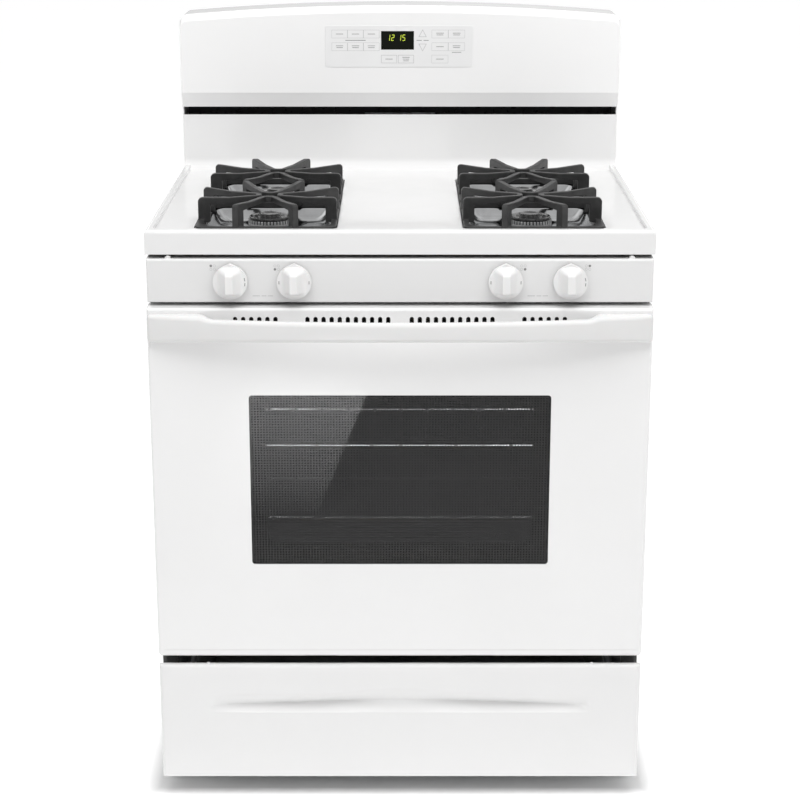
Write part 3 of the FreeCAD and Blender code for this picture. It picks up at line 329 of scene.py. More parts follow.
def clear_glass():
    """The inner pane, faintly smoked."""
    made = principled("inner_glass", tone(0.02), 0.03, sockets={"IOR": 1.52, "Alpha": 0.15})
    vary_roughness(made, noise_field(made, 60), 0.02, 0.05)
    return made


def display_black():
    made = principled("display_black", (0.004, 0.005, 0.003), 0.1, sockets={"Specular IOR Level": 0.12})
    vary_roughness(made, noise_field(made, 20), 0.06, 0.1)
    add_bump(made, noise_field(made, 15), 0.004)
    return made


def printed_ink(name, value):
    """Grey ink, very slightly uneven."""
    made = principled(name, tone(value), 0.5)
    vary_colour(made, noise_field(made, 4, 3.0), [(0.3, tone(value * 0.92)), (0.7, tone(value * 1.06))])
    return made


def lit_segments():
    """The clock's yellow-green light."""
    made = principled("lit_segments", (0.3, 0.36, 0.03), 0.4,
                      sockets={"Emission Color": (0.62, 0.75, 0.06, 1.0)})
    glow = add_node(made, "ShaderNodeMapRange", {
        "Value": noise_field(made, 3), "To Min": 0.55, "To Max": 0.8})
    made.node_tree.links.new(glow.outputs["Result"], shader_of(made).inputs["Emission Strength"])
    return made


def keypad_print():
    """The membrane's matt white face."""
    made = principled("keypad_print", tone(0.8), 0.38)
    vary_colour(made, noise_field(made, 40), [(0.3, tone(0.80)), (0.7, tone(0.815))])
    vary_roughness(made, noise_field(made, 15), 0.32, 0.42)
    add_bump(made, noise_field(made, 0.6), 0.004)
    return made


def make_materials():
    """One material for each of the record's slots, in place of the plain ones that came with the frame."""
    for plain in list(bpy.data.materials):
        bpy.data.materials.remove(plain)
    # The door and backguard enamels are lighter copies of the one white enamel, as painted light; the control
    # panel's is a darker copy, as painted shade.
    made = [white_enamel("white_enamel", 0.79), white_enamel("door_enamel_painted_light", 0.845),
            white_enamel("control_enamel_painted_shade", 0.75), white_enamel("guard_enamel_painted_light", 0.86),
            panel_enamel_ground_coat_and_shade(), drawer_paint(),
            moulded_white("white_handle", 0.73, 0.2), moulded_white("white_knob", 0.79, 0.3),
            galvanised_steel(), black_enamel(), grate_enamel(), cap_enamel(), oven_enamel(), bright_chrome(),
            steel_wire(), cast_aluminium(), valve_brass(), glass_wool(), gasket_braid(),
            black_plastic("foot_plastic", 0.5), black_plastic("black_part", 0.35),
            circuit_board(), light_glass(),
            printed_glass(), clear_glass(), display_black(), keypad_print(), printed_ink("pale_print", 0.5),
            printed_ink("grey_print", 0.22), lit_segments()]
    return {each.name: each for each in made}


MATERIALS = make_materials()


# ---- CAD nodes that stay ------------------------------------------------------------
def dress(node, material, edge_mm=0.4, segments=2):
    """Gives a CAD node its finish, and rounds its sharp edges with modifiers."""
    piece = frame["nodes"][node]
    piece.data.materials.clear()
    piece.data.materials.append(MATERIALS[material])
    weld = piece.modifiers.new("weld", "WELD")
    weld.merge_threshold = 0.01 * MM
    flat = piece.modifiers.new("flat", "DECIMATE")
    flat.decimate_type = "DISSOLVE"
    flat.angle_limit = math.radians(0.5)
    edge = piece.modifiers.new("edge", "BEVEL")
    edge.width = edge_mm * MM
    edge.segments = segments
    edge.limit_method = "ANGLE"
    edge.angle_limit = math.radians(35)
    edge.harden_normals = True
    smooth = piece.modifiers.new("smooth", "WEIGHTED_NORMAL")
    smooth.keep_sharp = True


EDGE_MM = {"cooktop": 0.5, "backguard_panel": 0.6, "control_panel": 0.6, "door_outer_panel": 0.5}
# The door and backguard get lighter copies of the white enamel as painted light, and the control panel a
# darker copy as painted shade.
OWN_FINISH = {"door_outer_panel": "door_enamel_painted_light", "backguard_panel": "guard_enamel_painted_light",
              "control_panel": "control_enamel_painted_shade", "side_panel_left": "panel_enamel_ground_coat_and_shade",
              "side_panel_right": "panel_enamel_ground_coat_and_shade"}


def dress_all():
    for part in frame["record"]["subparts"]:
        node = part["node"]
        edge = 1.6 if node.startswith("grate") else EDGE_MM.get(node, 0.4)
        dress(node, OWN_FINISH.get(node, part["material_slot"]), edge, 3 if node.startswith("grate") else 2)


# ---- mesh helpers -------------------------------------------------------------------
def finish_piece(name, work, material, body="range", replaces=(), crease=40.0):
    """Turns a bmesh into a shown piece that rides on a body and stands for the CAD nodes it replaces."""
    bmesh.ops.recalc_face_normals(work, faces=work.faces)
    mesh = bpy.data.meshes.new(name)
    work.to_mesh(mesh)
    work.free()
    mesh.polygons.foreach_set("use_smooth", [True] * len(mesh.polygons))
    mesh.set_sharp_from_angle(angle=math.radians(crease))
    mesh.materials.append(MATERIALS[material])
    piece = bpy.data.objects.new(name, mesh)
    bpy.context.scene.collection.objects.link(piece)
    if replaces:
        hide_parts(*replaces)
    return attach(piece, body)


def loft(work, rings, cap_start=False, cap_end=False):
    """Joins closed rings of points, one after another, with quads."""
    rows = [[work.verts.new(point) for point in ring] for ring in rings]
    for here, there in zip(rows, rows[1:]):
        for index in range(len(here)):
            after = (index + 1) % len(here)
            work.faces.new((here[index], here[after], there[after], there[index]))
    if cap_start:
        work.faces.new(rows[0])
    if cap_end:
        work.faces.new(rows[-1])


def lathe(work, centre, profile, steps=72, cap_start=False, cap_end=False):
    """Turns (radius, height) points, in millimetres, round a vertical axis that stands on centre."""
    turns = [math.tau * step / steps for step in range(steps)]
    rings = [[Vector((centre[0] + radius * MM * math.cos(turn), centre[1] + radius * MM * math.sin(turn),
                      height * MM)) for turn in turns] for radius, height in profile]
    loft(work, rings, cap_start, cap_end)


def add_block(work, low, high):
    """A closed box between two corners."""
    corners = [Vector((x, y, z)) for z in (low[2], high[2]) for x, y in (
        (low[0], low[1]), (high[0], low[1]), (high[0], high[1]), (low[0], high[1]))]
    loft(work, [corners[:4], corners[4:]], True, True)


def smooth_step(value, start, end):
    """0 before start, 1 after end, with an eased run between; start may be the larger."""
    share = min(max((value - start) / (end - start), 0.0), 1.0)
    return share * share * (3 - 2 * share)


def sheet_of(work, rows):
    """Quads between rows of points."""
    made = [[work.verts.new(point) for point in row] for row in rows]
    for here, there in zip(made, made[1:]):
        for a, b, c, d in zip(here, here[1:], there[1:], there):
            work.faces.new((a, b, c, d))


def close_back(work, back_y):
    """Pulls the open edge of a front face straight back to a plane and fills it in."""
    rim = [edge for edge in work.edges if edge.is_boundary]
    pulled = bmesh.ops.extrude_edge_only(work, edges=rim)["geom"]
    for vert in [item for item in pulled if isinstance(item, bmesh.types.BMVert)]:
        vert.co.y = back_y
    bmesh.ops.holes_fill(work, edges=[edge for edge in work.edges if edge.is_boundary])
    return rim


# ---- knobs --------------------------------------------------------------------------
KNOB_RIM = 7.0          # skirt's height above the knob's back
KNOB_CREST = 27.0       # front of the grip
GRIP_HALF = 5.5
FLANK = 13.5
KNOB_ROWS = 72
GRIP_COLUMNS = (-1.0, -0.5, 0.0, 0.5, 1.0)
FLANK_COLUMNS = 18


def knob_half_width(up, radius, peak):
    """Half of the knob's width at a height: a circle whose top runs up to a small point."""
    touch = math.acos(radius / peak)
    if up > radius * math.cos(touch):
        return (peak - up) / math.tan(math.pi / 2 - touch) * math.tan(math.pi / 2 - touch) ** 2
    return math.sqrt(max(radius * radius - up * up, 0.0))


def knob_front(across, up, radius):
    """Height of the knob's face above its back: a ridge with hollow flanks and sloped ends."""
    side = min(max((abs(across) - GRIP_HALF) / FLANK, 0.0), 1.0)
    ends = 1 - smooth_step(abs(up), 0.5 * radius, 0.93 * radius)
    return KNOB_RIM + (KNOB_CREST - KNOB_RIM) * (1 - side) ** 1.7 * ends


def knob(spot):
    """One control knob with its skirt, its pointed top and its vertical grip, on its stem."""
    node = "knob_" + spot
    low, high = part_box(node)
    radius = (high.x - low.x) / 2 / MM
    centre_x, centre_z = (low.x + high.x) / 2, low.z + radius * MM
    peak = (high.z - centre_z) / MM
    back_y = low.y + KNOB_CREST * MM
    rows = []
    for row in range(KNOB_ROWS + 1):
        up = -radius + (radius + peak) * (1 - math.cos(math.pi * row / KNOB_ROWS)) / 2
        width = knob_half_width(up, radius, peak)
        grip = min(GRIP_HALF, 0.5 * width)
        flanks = [grip + (width - grip) * step / FLANK_COLUMNS for step in range(1, FLANK_COLUMNS + 1)]
        places = [-place for place in reversed(flanks)] + [grip * c for c in GRIP_COLUMNS] + flanks
        rows.append([Vector((centre_x + across * MM, back_y - knob_front(across, up, radius) * MM,
                             centre_z + up * MM)) for across in places])
    work = bmesh.new()
    sheet_of(work, rows)
    bmesh.ops.remove_doubles(work, verts=work.verts, dist=0.02 * MM)
    rim = close_back(work, back_y)
    bmesh.ops.bevel(work, geom=rim, offset=1.1 * MM, segments=3, affect="EDGES", clamp_overlap=True)
    steps = [math.tau * step / 24 for step in range(24)]
    stem = 4 * MM
    ends = [[Vector((centre_x + stem * math.cos(turn), y, centre_z + stem * math.sin(turn)))
             for turn in steps]
            for y in (back_y - 3 * MM, high.y)]
    loft(work, ends, True, True)
    finish_piece("control_knob_" + spot, work, "white_knob", node + "_body", [node], crease=50)
    knob_marks(spot, centre_x, centre_z, back_y - (KNOB_RIM + 0.25) * MM, radius)


def knob_marks(spot, centre_x, centre_z, face_y, radius):
    """The small printed marks round the knob's skirt: off, high, medium and low."""
    turns = (0, 78, 98, 180) if spot.endswith("rear") else (0, 90, 180, 270)
    work = bmesh.new()
    for turn in turns:
        along = Vector((math.cos(math.radians(turn)), 0, -math.sin(math.radians(turn))))
        out = Vector((math.sin(math.radians(turn)), 0, math.cos(math.radians(turn))))
        middle = Vector((centre_x, face_y, centre_z)) + out * (radius - 3.2) * MM
        ring = [middle + along * a * MM + out * b * MM
                for a, b in ((-2.4, -0.5), (2.4, -0.5), (2.4, 0.5), (-2.4, 0.5))]
        loft(work, [ring, [point + Vector((0, 0.4 * MM, 0)) for point in ring]], True, True)
    finish_piece("knob_marks_" + spot, work, "grey_print", "knob_" + spot + "_body")


# ---- printing on the control panel and the keypad -----------------------------------
def printed_frame(work, x0, x1, z0, z1, y, line):
    """A thin printed outline of a rectangle, in millimetres."""
    for a, b, c, d in ((x0, x1, z1 - line, z1), (x0, x1, z0, z0 + line),
                       (x0, x0 + line, z0 + line, z1 - line), (x1 - line, x1, z0 + line, z1 - line)):
        add_block(work, (a * MM, (y - 0.12) * MM, c * MM), (b * MM, y * MM, d * MM))


def printed_bar(work, x, z, width, height, y):
    add_block(work, ((x - width / 2) * MM, (y - 0.12) * MM, (z - height / 2) * MM),
              ((x + width / 2) * MM, y * MM, (z + height / 2) * MM))


def printed_polygon(work, points, y):
    """A flat printed shape through (x, z) points, in millimetres."""
    rings = [[Vector((x * MM, place * MM, z * MM)) for x, z in points] for place in (y - 0.12, y)]
    loft(work, rings, True, True)


def circle_points(x, z, radius, steps=20):
    return [(x + radius * math.cos(math.tau * step / steps), z + radius * math.sin(math.tau * step / steps))
            for step in range(steps)]


def printed_ring(work, x, z, radius, line, y):
    outer, inner = circle_points(x, z, radius), circle_points(x, z, radius - line)
    for index in range(len(outer)):
        after = (index + 1) % len(outer)
        printed_polygon(work, [outer[index], outer[after], inner[after], inner[index]], y)


ICON_ASIDE = 26.0       # burner map's centre from its knob's centre
ICON_ABOVE = 20.5
ICON_PITCH = 5.2


def burner_maps():
    """Beside each knob, four small rings that stand for the burners, with the knob's own one filled in."""
    face_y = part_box("control_panel")[0].y / MM
    rings, dots = bmesh.new(), bmesh.new()
    for spot in BURNER_SPOTS:
        low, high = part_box("knob_" + spot)
        side = -1 if spot.startswith("left") else 1
        x = (low.x + high.x) / 2 / MM + side * ICON_ASIDE
        z = low.z / MM + (high.x - low.x) / 2 / MM + ICON_ABOVE
        for column in (-1, 1):
            for row in (-1, 1):
                place = (x + column * ICON_PITCH / 2, z + row * ICON_PITCH / 2)
                own = column == side and row == (1 if spot.endswith("rear") else -1)
                if own:
                    printed_polygon(dots, circle_points(*place, 1.9), face_y)
                else:
                    printed_ring(rings, *place, 2.0, 0.5, face_y)
    finish_piece("burner_map_rings", rings, "pale_print")
    finish_piece("burner_map_dots", dots, "grey_print")


def push_to_turn_marks():
    """Short dashes between each pair of knobs, in place of the small wording there."""
    face_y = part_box("control_panel")[0].y / MM
    work = bmesh.new()
    for pair in ("left", "right"):
        rear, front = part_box("knob_" + pair + "_rear"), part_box("knob_" + pair + "_front")
        middle = (rear[0].x + rear[1].x + front[0].x + front[1].x) / 4 / MM
        z = rear[0].z / MM + 3.0
        for x, width in ((-9.5, 11), (2.0, 7), (11.5, 8)):
            printed_bar(work, middle + x, z, width, 1.1, face_y)
    finish_piece("push_to_turn_marks", work, "pale_print")


KEY_W = 27.4
KEY_H = 14.0
KEY_GAP = 3.0
ROW_PITCH = 21.6


def keypad_printing():
    """Key outlines, legend bars and arrows, laid out round the display."""
    face_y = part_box("keypad_overlay")[0].y / MM
    low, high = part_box("display_lens")
    border = 4.0
    left, right = low.x / MM + border, high.x / MM - border
    top, foot = high.z / MM - border + 2.0, low.z / MM + border
    lines, legends = bmesh.new(), bmesh.new()
    row_tops = (top, top - ROW_PITCH, foot - 9.0)

    def key(x0, width, row, bars, line=0.45):
        z1 = row_tops[row]
        printed_frame(lines, x0, x0 + width, z1 - KEY_H, z1, face_y, line)
        for index in range(bars):
            z = z1 - KEY_H / 2 + (bars - 1) * 1.5 - index * 3.0
            printed_bar(legends, x0 + width / 2, z, width * (0.46 - 0.06 * index), 0.9, face_y)

    for column in range(3):
        x0 = left - KEY_GAP - KEY_W * (3 - column)
        key(x0, KEY_W, 0, 1)
        key(x0, KEY_W, 1, 2)
    between_rows = (row_tops[0] + row_tops[1] - KEY_H) / 2
    printed_bar(legends, left - KEY_GAP - KEY_W * 1.5, between_rows, 35, 1.1, face_y)
    half = (right - left - 2) / 2
    key(left, half, 2, 1, 0.7)
    key(right - half, half, 2, 3, 0.7)
    x0 = right + 30.6
    for column in range(2):
        key(x0 + column * 28.6, 28.6, 0, 2)
        key(x0 + column * 28.6, 28.6, 1, 1 + column)
    key(x0, 28.6, 2, 1)
    printed_bar(legends, x0 + 43, row_tops[1] - KEY_H - 2.6, 16, 0.9, face_y)
    arrow_x = right + 15.0
    for z, up in ((row_tops[0] - 6.0, 1), (row_tops[1] - 8.0, -1)):
        arrow_outline(lines, arrow_x, z, up, face_y)
    printed_bar(legends, arrow_x - 6, (row_tops[0] + row_tops[1] - KEY_H) / 2, 9, 1.0, face_y)
    printed_bar(legends, arrow_x + 6, (row_tops[0] + row_tops[1] - KEY_H) / 2, 9, 1.0, face_y)
    finish_piece("keypad_outlines", lines, "pale_print")
    finish_piece("keypad_legends", legends, "grey_print")


def arrow_outline(work, x, z, up, y):
    """A triangle's outline that points up or down."""
    outer = [(x - 7.0, z - 6.0 * up), (x + 7.0, z - 6.0 * up), (x, z + 7.0 * up)]
    inner = [(x - 5.6, z - 5.2 * up), (x + 5.6, z - 5.2 * up), (x, z + 5.4 * up)]
    for index in range(3):
        after = (index + 1) % 3
        printed_polygon(work, [outer[index], outer[after], inner[after], inner[index]], y)


SEGMENTS = {"1": "bc", "2": "abged", "5": "afgcd"}
DIGIT_W, DIGIT_H, STROKE = 5.0, 10.6, 1.1


def lit_digit(work, character, x, z, y):
    """One seven-segment digit whose lower left corner is at x, z; the top leans a little to the right."""
    w, h, t, lean = DIGIT_W, DIGIT_H, STROKE, 0.1
    bars = {"a": (0.6, w - 0.6, h - t, h), "g": (0.6, w - 0.6, (h - t) / 2, (h + t) / 2),
            "d": (0.6, w - 0.6, 0, t),
            "f": (0, t, h / 2 + 0.3, h - 0.4), "b": (w - t, w, h / 2 + 0.3, h - 0.4),
            "e": (0, t, 0.4, h / 2 - 0.3), "c": (w - t, w, 0.4, h / 2 - 0.3)}
    for segment in SEGMENTS[character]:
        x0, x1, z0, z1 = bars[segment]
        printed_polygon(work, [(x + x0 + lean * z0, z + z0), (x + x1 + lean * z0, z + z0),
                               (x + x1 + lean * z1, z + z1), (x + x0 + lean * z1, z + z1)], y)


def display_digits():
    """The clock's four lit digits behind the display's lens."""
    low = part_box("display_lens")[0]
    x, z, y = low.x / MM + 14.0, low.z / MM + 19.2, low.y / MM
    work = bmesh.new()
    for character, place in (("1", 0.0), ("2", 7.2), ("1", 19.0), ("5", 26.2)):
        lit_digit(work, character, x + place, z, y)
    finish_piece("display_digits", work, "lit_segments")


# ---- door handle --------------------------------------------------------------------
HANDLE_BAR = 14.0       # bar's thickness, front to back
BAR_FOOT = 760.0        # bar's lower edge in the middle; it sinks to the foot of the ends
BAR_TOP = 789.0
HANDLE_END_Y = -327.0
GAP_END = (276.0, 300.0)  # where the finger gap closes
END_STEP = (280.0, 296.0)  # where the bar grows to the height of its end


def handle_section(x, low, high):
    """Rounded section of the handle at x, in millimetres: thin in the bow, solid at the ends."""
    half, front_mid = high.x / MM, low.y / MM
    sag = HANDLE_END_Y - front_mid
    bow = (half * half + sag * sag) / (2 * sag)
    front = front_mid + bow - math.sqrt(bow * bow - x * x)
    solid = smooth_step(abs(x), *GAP_END)
    back = front + HANDLE_BAR + (high.y / MM - front - HANDLE_BAR) * solid
    foot = BAR_FOOT + (low.z / MM - BAR_FOOT) * (x / half) ** 2
    top = BAR_TOP + (high.z / MM - BAR_TOP) * smooth_step(abs(x), *END_STEP)
    return front, back, foot, top


def handle_ring(x, low, high, shrink):
    """Points round one section; shrink pulls it in to round off the handle's end."""
    front, back, foot, top = handle_section(x, low, high)
    front, foot, top = front + shrink, foot + shrink, top - shrink
    radius = min(6.5, (back - front) * 0.48)
    heel = min(4.0, radius) * (1 - smooth_step(abs(x), *GAP_END)) + 0.3
    ring = []
    for y, z, corner, start in (
            (front + radius, top - radius, radius, 90), (front + radius, foot + radius, radius, 180),
            (back - heel, foot + heel, heel, 270), (back - heel, top - heel, heel, 0)):
        for step in range(7):
            turn = math.radians(start + 15 * step)
            point_y = y + corner * math.cos(turn)
            point_z = z + corner * math.sin(turn)
            ring.append(Vector((x * MM, point_y * MM, point_z * MM)))
    return ring


def bowed_handle():
    """The full-width handle: one smooth bow whose ends flow into the door."""
    low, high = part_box("door_handle")
    half = high.x / MM
    round_end = 5.0
    turns = [math.radians(turn) for turn in (0, 20, 40, 60, 80)]
    stations = [(-half + round_end * (1 - math.cos(turn)), round_end * (1 - math.sin(turn)))
                for turn in turns]
    count = 120
    span = half - round_end
    middle = [(-span + 2 * span * step / count, 0.0) for step in range(count + 1)]
    stations = stations + middle + [(-x, shrink) for x, shrink in reversed(stations)]
    work = bmesh.new()
    loft(work, [handle_ring(x, low, high, shrink) for x, shrink in stations], True, True)
    finish_piece("bowed_handle", work, "white_handle", "door", ["door_handle"], crease=60)


# ---- drawer front -------------------------------------------------------------------
SCOOP_HALF = 298.0
SCOOP_FOOT = 147.0      # the crisp lower lip of the finger recess
SCOOP_DEPTH = 17.0
SCOOP_HIGH = (33.0, 10.0)  # height of the recess, and how much more at the middle
LEDGE_HIGH = (11.5, 7.0)  # height of its lit ledge at the ends, and how much more at the middle
FLANGE = 9.0            # the front's top is only this deep
RELIEF = 12.0           # behind that it drops by this much
BUMPER_X = 300.0
BUMPER_HIGH = 2.0
BUMPER_R = 2.8
BUMPER_IN = 6.0         # behind the drawer's face


def scoop_depth(x, z):
    """Depth of the finger recess: a ledge that slopes up and in, then an overhang back to the face."""
    reach = 1 - (x / SCOOP_HALF) ** 2
    if reach <= 0 or z <= SCOOP_FOOT:
        return 0.0
    middle = math.exp(-(x / 80) ** 2)
    depth = SCOOP_DEPTH * reach ** 0.5 * (1 - 0.5 * middle)
    ledge = LEDGE_HIGH[0] + LEDGE_HIGH[1] * math.exp(-(x / 115) ** 2)
    high = SCOOP_HIGH[0] + SCOOP_HIGH[1] * middle
    up = z - SCOOP_FOOT
    if up < ledge:
        share = up / ledge
        return depth * share * (1.7 - 0.7 * share)
    if up > high:
        return 0.0
    return depth * (1 - (up - ledge) / (high - ledge)) ** (1.8 - 0.3 * middle)


def stepped_back(work, back_y, top_z):
    """Closes a front face behind: straight back for the flange, down by the relief, and back to the plane."""
    face_y = min(vert.co.y for vert in work.verts)
    flange_y = face_y + FLANGE * MM
    relief_z = top_z - RELIEF * MM
    stages = ((flange_y, None), (flange_y, relief_z), (back_y, relief_z))
    for stage_y, limit in stages:
        rim = [edge for edge in work.edges if edge.is_boundary]
        pulled = bmesh.ops.extrude_edge_only(work, edges=rim)["geom"]
        for vert in [item for item in pulled if isinstance(item, bmesh.types.BMVert)]:
            vert.co.y = stage_y
            if limit is not None:
                vert.co.z = min(vert.co.z, limit)
    bmesh.ops.holes_fill(work, edges=[edge for edge in work.edges if edge.is_boundary])
    bmesh.ops.remove_doubles(work, verts=work.verts, dist=0.01 * MM)


def drawer_face():
    """The drawer's front: a painted slab with rolled edges and a sculpted finger recess."""
    low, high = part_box("drawer_front")
    x0, x1, z0 = low.x / MM, high.x / MM, low.z / MM
    z1 = high.z / MM - BUMPER_HIGH
    face, roll = low.y / MM, 6.0
    edge_steps = [roll * (1 - math.cos(math.radians(turn))) for turn in range(0, 91, 15)]

    def lines(start, end, inner):
        """Grid lines from start to end, close together where the edges roll."""
        near_start = [start + step for step in edge_steps]
        near_end = [end - step for step in edge_steps]
        return sorted({round(value, 3) for value in near_start + near_end + inner})

    columns = lines(x0, x1, [-360 + 4.5 * step for step in range(161)])
    inner = [SCOOP_FOOT - 0.6, SCOOP_FOOT] + [SCOOP_FOOT + 0.8 * step for step in range(1, 60)]
    rows = lines(z0, z1, inner + [50, 75, 100, 125, 140, 210])

    def fall(edge_distance):
        """How far the surface rolls back near an outer edge."""
        gone = max(roll - edge_distance, 0.0)
        return roll - math.sqrt(max(roll * roll - gone * gone, 0.0))

    points = []
    for z in rows:
        row = []
        for x in columns:
            back = max(fall(min(x - x0, x1 - x)), fall(min(z - z0, z1 - z)))
            row.append(Vector((x * MM, (face + back + scoop_depth(x, z)) * MM, z * MM)))
        points.append(row)
    work = bmesh.new()
    sheet_of(work, points)
    stepped_back(work, high.y, z1 * MM)
    bumper_top = z1 + BUMPER_HIGH
    for side in (-1, 1):
        lathe(work, (side * BUMPER_X * MM, low.y + BUMPER_IN * MM), [
            (BUMPER_R, z1 - 0.5), (BUMPER_R, bumper_top - 1.0),
            (BUMPER_R - 0.5, bumper_top - 0.3), (BUMPER_R / 2, bumper_top)], 24, True, True)
    finish_piece("drawer_face", work, "drawer_paint", "drawer", ["drawer_front"], crease=50)


# ---- burners ------------------------------------------------------------------------
BASE_R = 33.5
CAP_R = 31.5
TEETH = 40


def burner_centres():
    low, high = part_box("burner_bases")
    return [(x, y) for x in (low.x + BASE_R * MM, high.x - BASE_R * MM)
            for y in (low.y + BASE_R * MM, high.y - BASE_R * MM)]


def cast_bases():
    """Burner heads: a rounded cast bowl whose rim is cut into gas ports."""
    low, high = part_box("burner_bases")
    foot, rim = low.z / MM, high.z / MM
    work = bmesh.new()
    for centre in burner_centres():
        lathe(work, centre, [(10, foot), (14, foot), (14, 878), (24, 879), (28.5, 881), (31.5, 885),
                             (33, 889.5), (33.5, 893), (33.5, rim - 6.5), (32.9, rim - 5.8),
                             (29.6, rim - 5.8), (29.6, rim - 0.8), (27.5, rim - 0.8), (27.5, rim - 4),
                             (10, rim - 4)], 96, True, True)
        for tooth in range(TEETH):
            add_tooth(work, centre, math.tau * tooth / TEETH, rim)
    finish_piece("burner_heads", work, "cast_aluminium", "range", ["burner_bases"], crease=35)


def add_tooth(work, centre, turn, rim):
    """One block between two gas ports."""
    half = math.tau / TEETH * 0.3
    rings = []
    for height, inset in ((rim - 6.0, 0.0), (rim - 0.9, 0.0), (rim - 0.2, 0.6)):
        ring = []
        for radius, angle in ((30.3, -half), (BASE_R - inset, -half), (BASE_R - inset, half), (30.3, half)):
            spot = turn + angle
            ring.append(Vector((centre[0] + radius * MM * math.cos(spot),
                                centre[1] + radius * MM * math.sin(spot), height * MM)))
        rings.append(ring)
    loft(work, rings, True, True)


def enamel_caps():
    """Burner caps: a thin lipped disc with a dished rise in the middle."""
    low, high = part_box("burner_caps")
    foot, top = low.z / MM, high.z / MM
    work = bmesh.new()
    for centre in burner_centres():
        lathe(work, centre, [(26, foot), (26, foot - 3.9), (30.2, foot - 3.9), (30.2, foot + 1.6),
                             (CAP_R - 0.8, foot + 1.6), (CAP_R, foot + 2.4),
                             (CAP_R, foot + 4.4), (CAP_R - 0.6, foot + 5.4), (CAP_R - 2.0, foot + 5.9),
                             (27.5, foot + 5.9), (26.0, foot + 5.2), (19.5, foot + 5.2), (18.2, foot + 5.8),
                             (17.2, top - 1.2), (16.2, top - 0.3), (14.6, top), (12.8, top - 0.3),
                             (11.2, top - 1.4), (8.0, top - 2.2), (0.4, top - 2.5)], 96, True, True)
    finish_piece("enamel_caps", work, "cap_enamel", "range", ["burner_caps"], crease=35)


def square_ring(centre, half, corner, z, steps=10):
    """Points round a square with rounded corners."""
    ring = []
    for side_x, side_y, start in ((1, 1, 0), (-1, 1, 90), (-1, -1, 180), (1, -1, 270)):
        for step in range(steps + 1):
            turn = math.radians(start + 90 * step / steps)
            across = side_x * (half - corner) + corner * math.cos(turn)
            along = side_y * (half - corner) + corner * math.sin(turn)
            ring.append(Vector((centre[0] + across * MM, centre[1] + along * MM, z * MM)))
    return ring


def round_ring(centre, pattern, radius, z):
    """Points on a circle, each in the same direction from the centre as the pattern's point."""
    ring = []
    for point in pattern:
        turn = math.atan2(point.y - centre[1], point.x - centre[0])
        ring.append(Vector((centre[0] + radius * MM * math.cos(turn),
                            centre[1] + radius * MM * math.sin(turn), z * MM)))
    return ring


def chrome_pans():
    """Drip pans: square chrome bowls with a rolled rim, pressed round each burner."""
    low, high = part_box("drip_pans")
    rim, floor = high.z / MM, low.z / MM
    half = (high.x / MM - burner_centres()[-1][0] / MM)
    work = bmesh.new()
    for centre in burner_centres():
        rings = [square_ring(centre, half, 7, rim - 1.0), square_ring(centre, half - 0.3, 7, rim - 0.2),
                 square_ring(centre, half - 1.2, 7, rim), square_ring(centre, 98, 11, rim),
                 square_ring(centre, 96, 12, rim - 0.5), square_ring(centre, 94.6, 13, rim - 2.2),
                 square_ring(centre, 90, 17, rim - 11), square_ring(centre, 85, 21, floor + 3.6),
                 square_ring(centre, 81, 23, floor + 1.6), square_ring(centre, 75, 25, floor + 0.9)]
        pattern = square_ring(centre, 81, 23, floor)
        for radius, z in ((52, floor + 0.9), (42, floor + 1.1), (39.5, floor + 1.6), (38, floor + 3.2),
                          (37.2, floor + 4.4), (36.6, floor + 4.6)):
            rings.append(round_ring(centre, pattern, radius, z))
        loft(work, rings)
    pans = finish_piece("chrome_pans", work, "bright_chrome", "range", ["drip_pans"], crease=60)
    solid = pans.modifiers.new("sheet", "SOLIDIFY")
    solid.thickness = 0.8 * MM
    solid.offset = -1.0


# ---- studio -------------------------------------------------------------------------
SHADE_HALF = 0.385      # in metres: the floor gives no light of its own under the range
SHADE_FRONT = -0.285
SHADE_BACK = 0.37


def studio_floor():
    """A pale floor that gives light round the range, and reaches past the camera's view."""
    span = 40.0
    mesh = bpy.data.meshes.new("studio_floor")
    corners = [(-span, -span, 0), (span, -span, 0), (span, span, 0), (-span, span, 0)]
    mesh.from_pydata(corners, [], [(0, 1, 2, 3)])
    floor = bpy.data.objects.new("studio_floor", mesh)
    bpy.context.scene.collection.objects.link(floor)
    made = principled("floor_paint", tone(0.9), 0.7, sockets={"Emission Color": (1.0, 1.0, 1.0, 1.0)})
    axes = add_node(made, "ShaderNodeSeparateXYZ", {"Vector": place_on_object(made)}).outputs
    aside = add_node(made, "ShaderNodeMath", {0: axes["X"]}, operation="ABSOLUTE").outputs[0]
    beside = add_node(made, "ShaderNodeMath", {0: aside, 1: SHADE_HALF}, operation="SUBTRACT").outputs[0]
    ahead = add_node(made, "ShaderNodeMath", {0: SHADE_FRONT, 1: axes["Y"]}, operation="SUBTRACT").outputs[0]
    behind = add_node(made, "ShaderNodeMath", {0: axes["Y"], 1: SHADE_BACK}, operation="SUBTRACT").outputs[0]
    outside = add_node(made, "ShaderNodeMath", {0: beside, 1: ahead}, operation="MAXIMUM").outputs[0]
    outside = add_node(made, "ShaderNodeMath", {0: outside, 1: behind}, operation="MAXIMUM").outputs[0]
    edge = add_node(made, "ShaderNodeMapRange", {
        "Value": outside, "From Min": 0.0, "From Max": 0.03}).outputs["Result"]
    far = add_node(made, "ShaderNodeMapRange", {
        "Value": axes["Y"], "From Min": -1.0, "From Max": 0.8, "To Min": 0.1, "To Max": 0.4
    }).outputs["Result"]
    near = add_node(made, "ShaderNodeMapRange", {
        "Value": outside, "From Min": 0.25, "From Max": 0.0, "To Min": 0.0, "To Max": 0.22}).outputs["Result"]
    glow = add_node(made, "ShaderNodeMath", {0: far, 1: near}, operation="ADD").outputs[0]
    glow = add_node(made, "ShaderNodeMath", {0: glow, 1: edge}, operation="MULTIPLY").outputs[0]
    made.node_tree.links.new(glow, shader_of(made).inputs["Emission Strength"])
    mesh.materials.append(made)


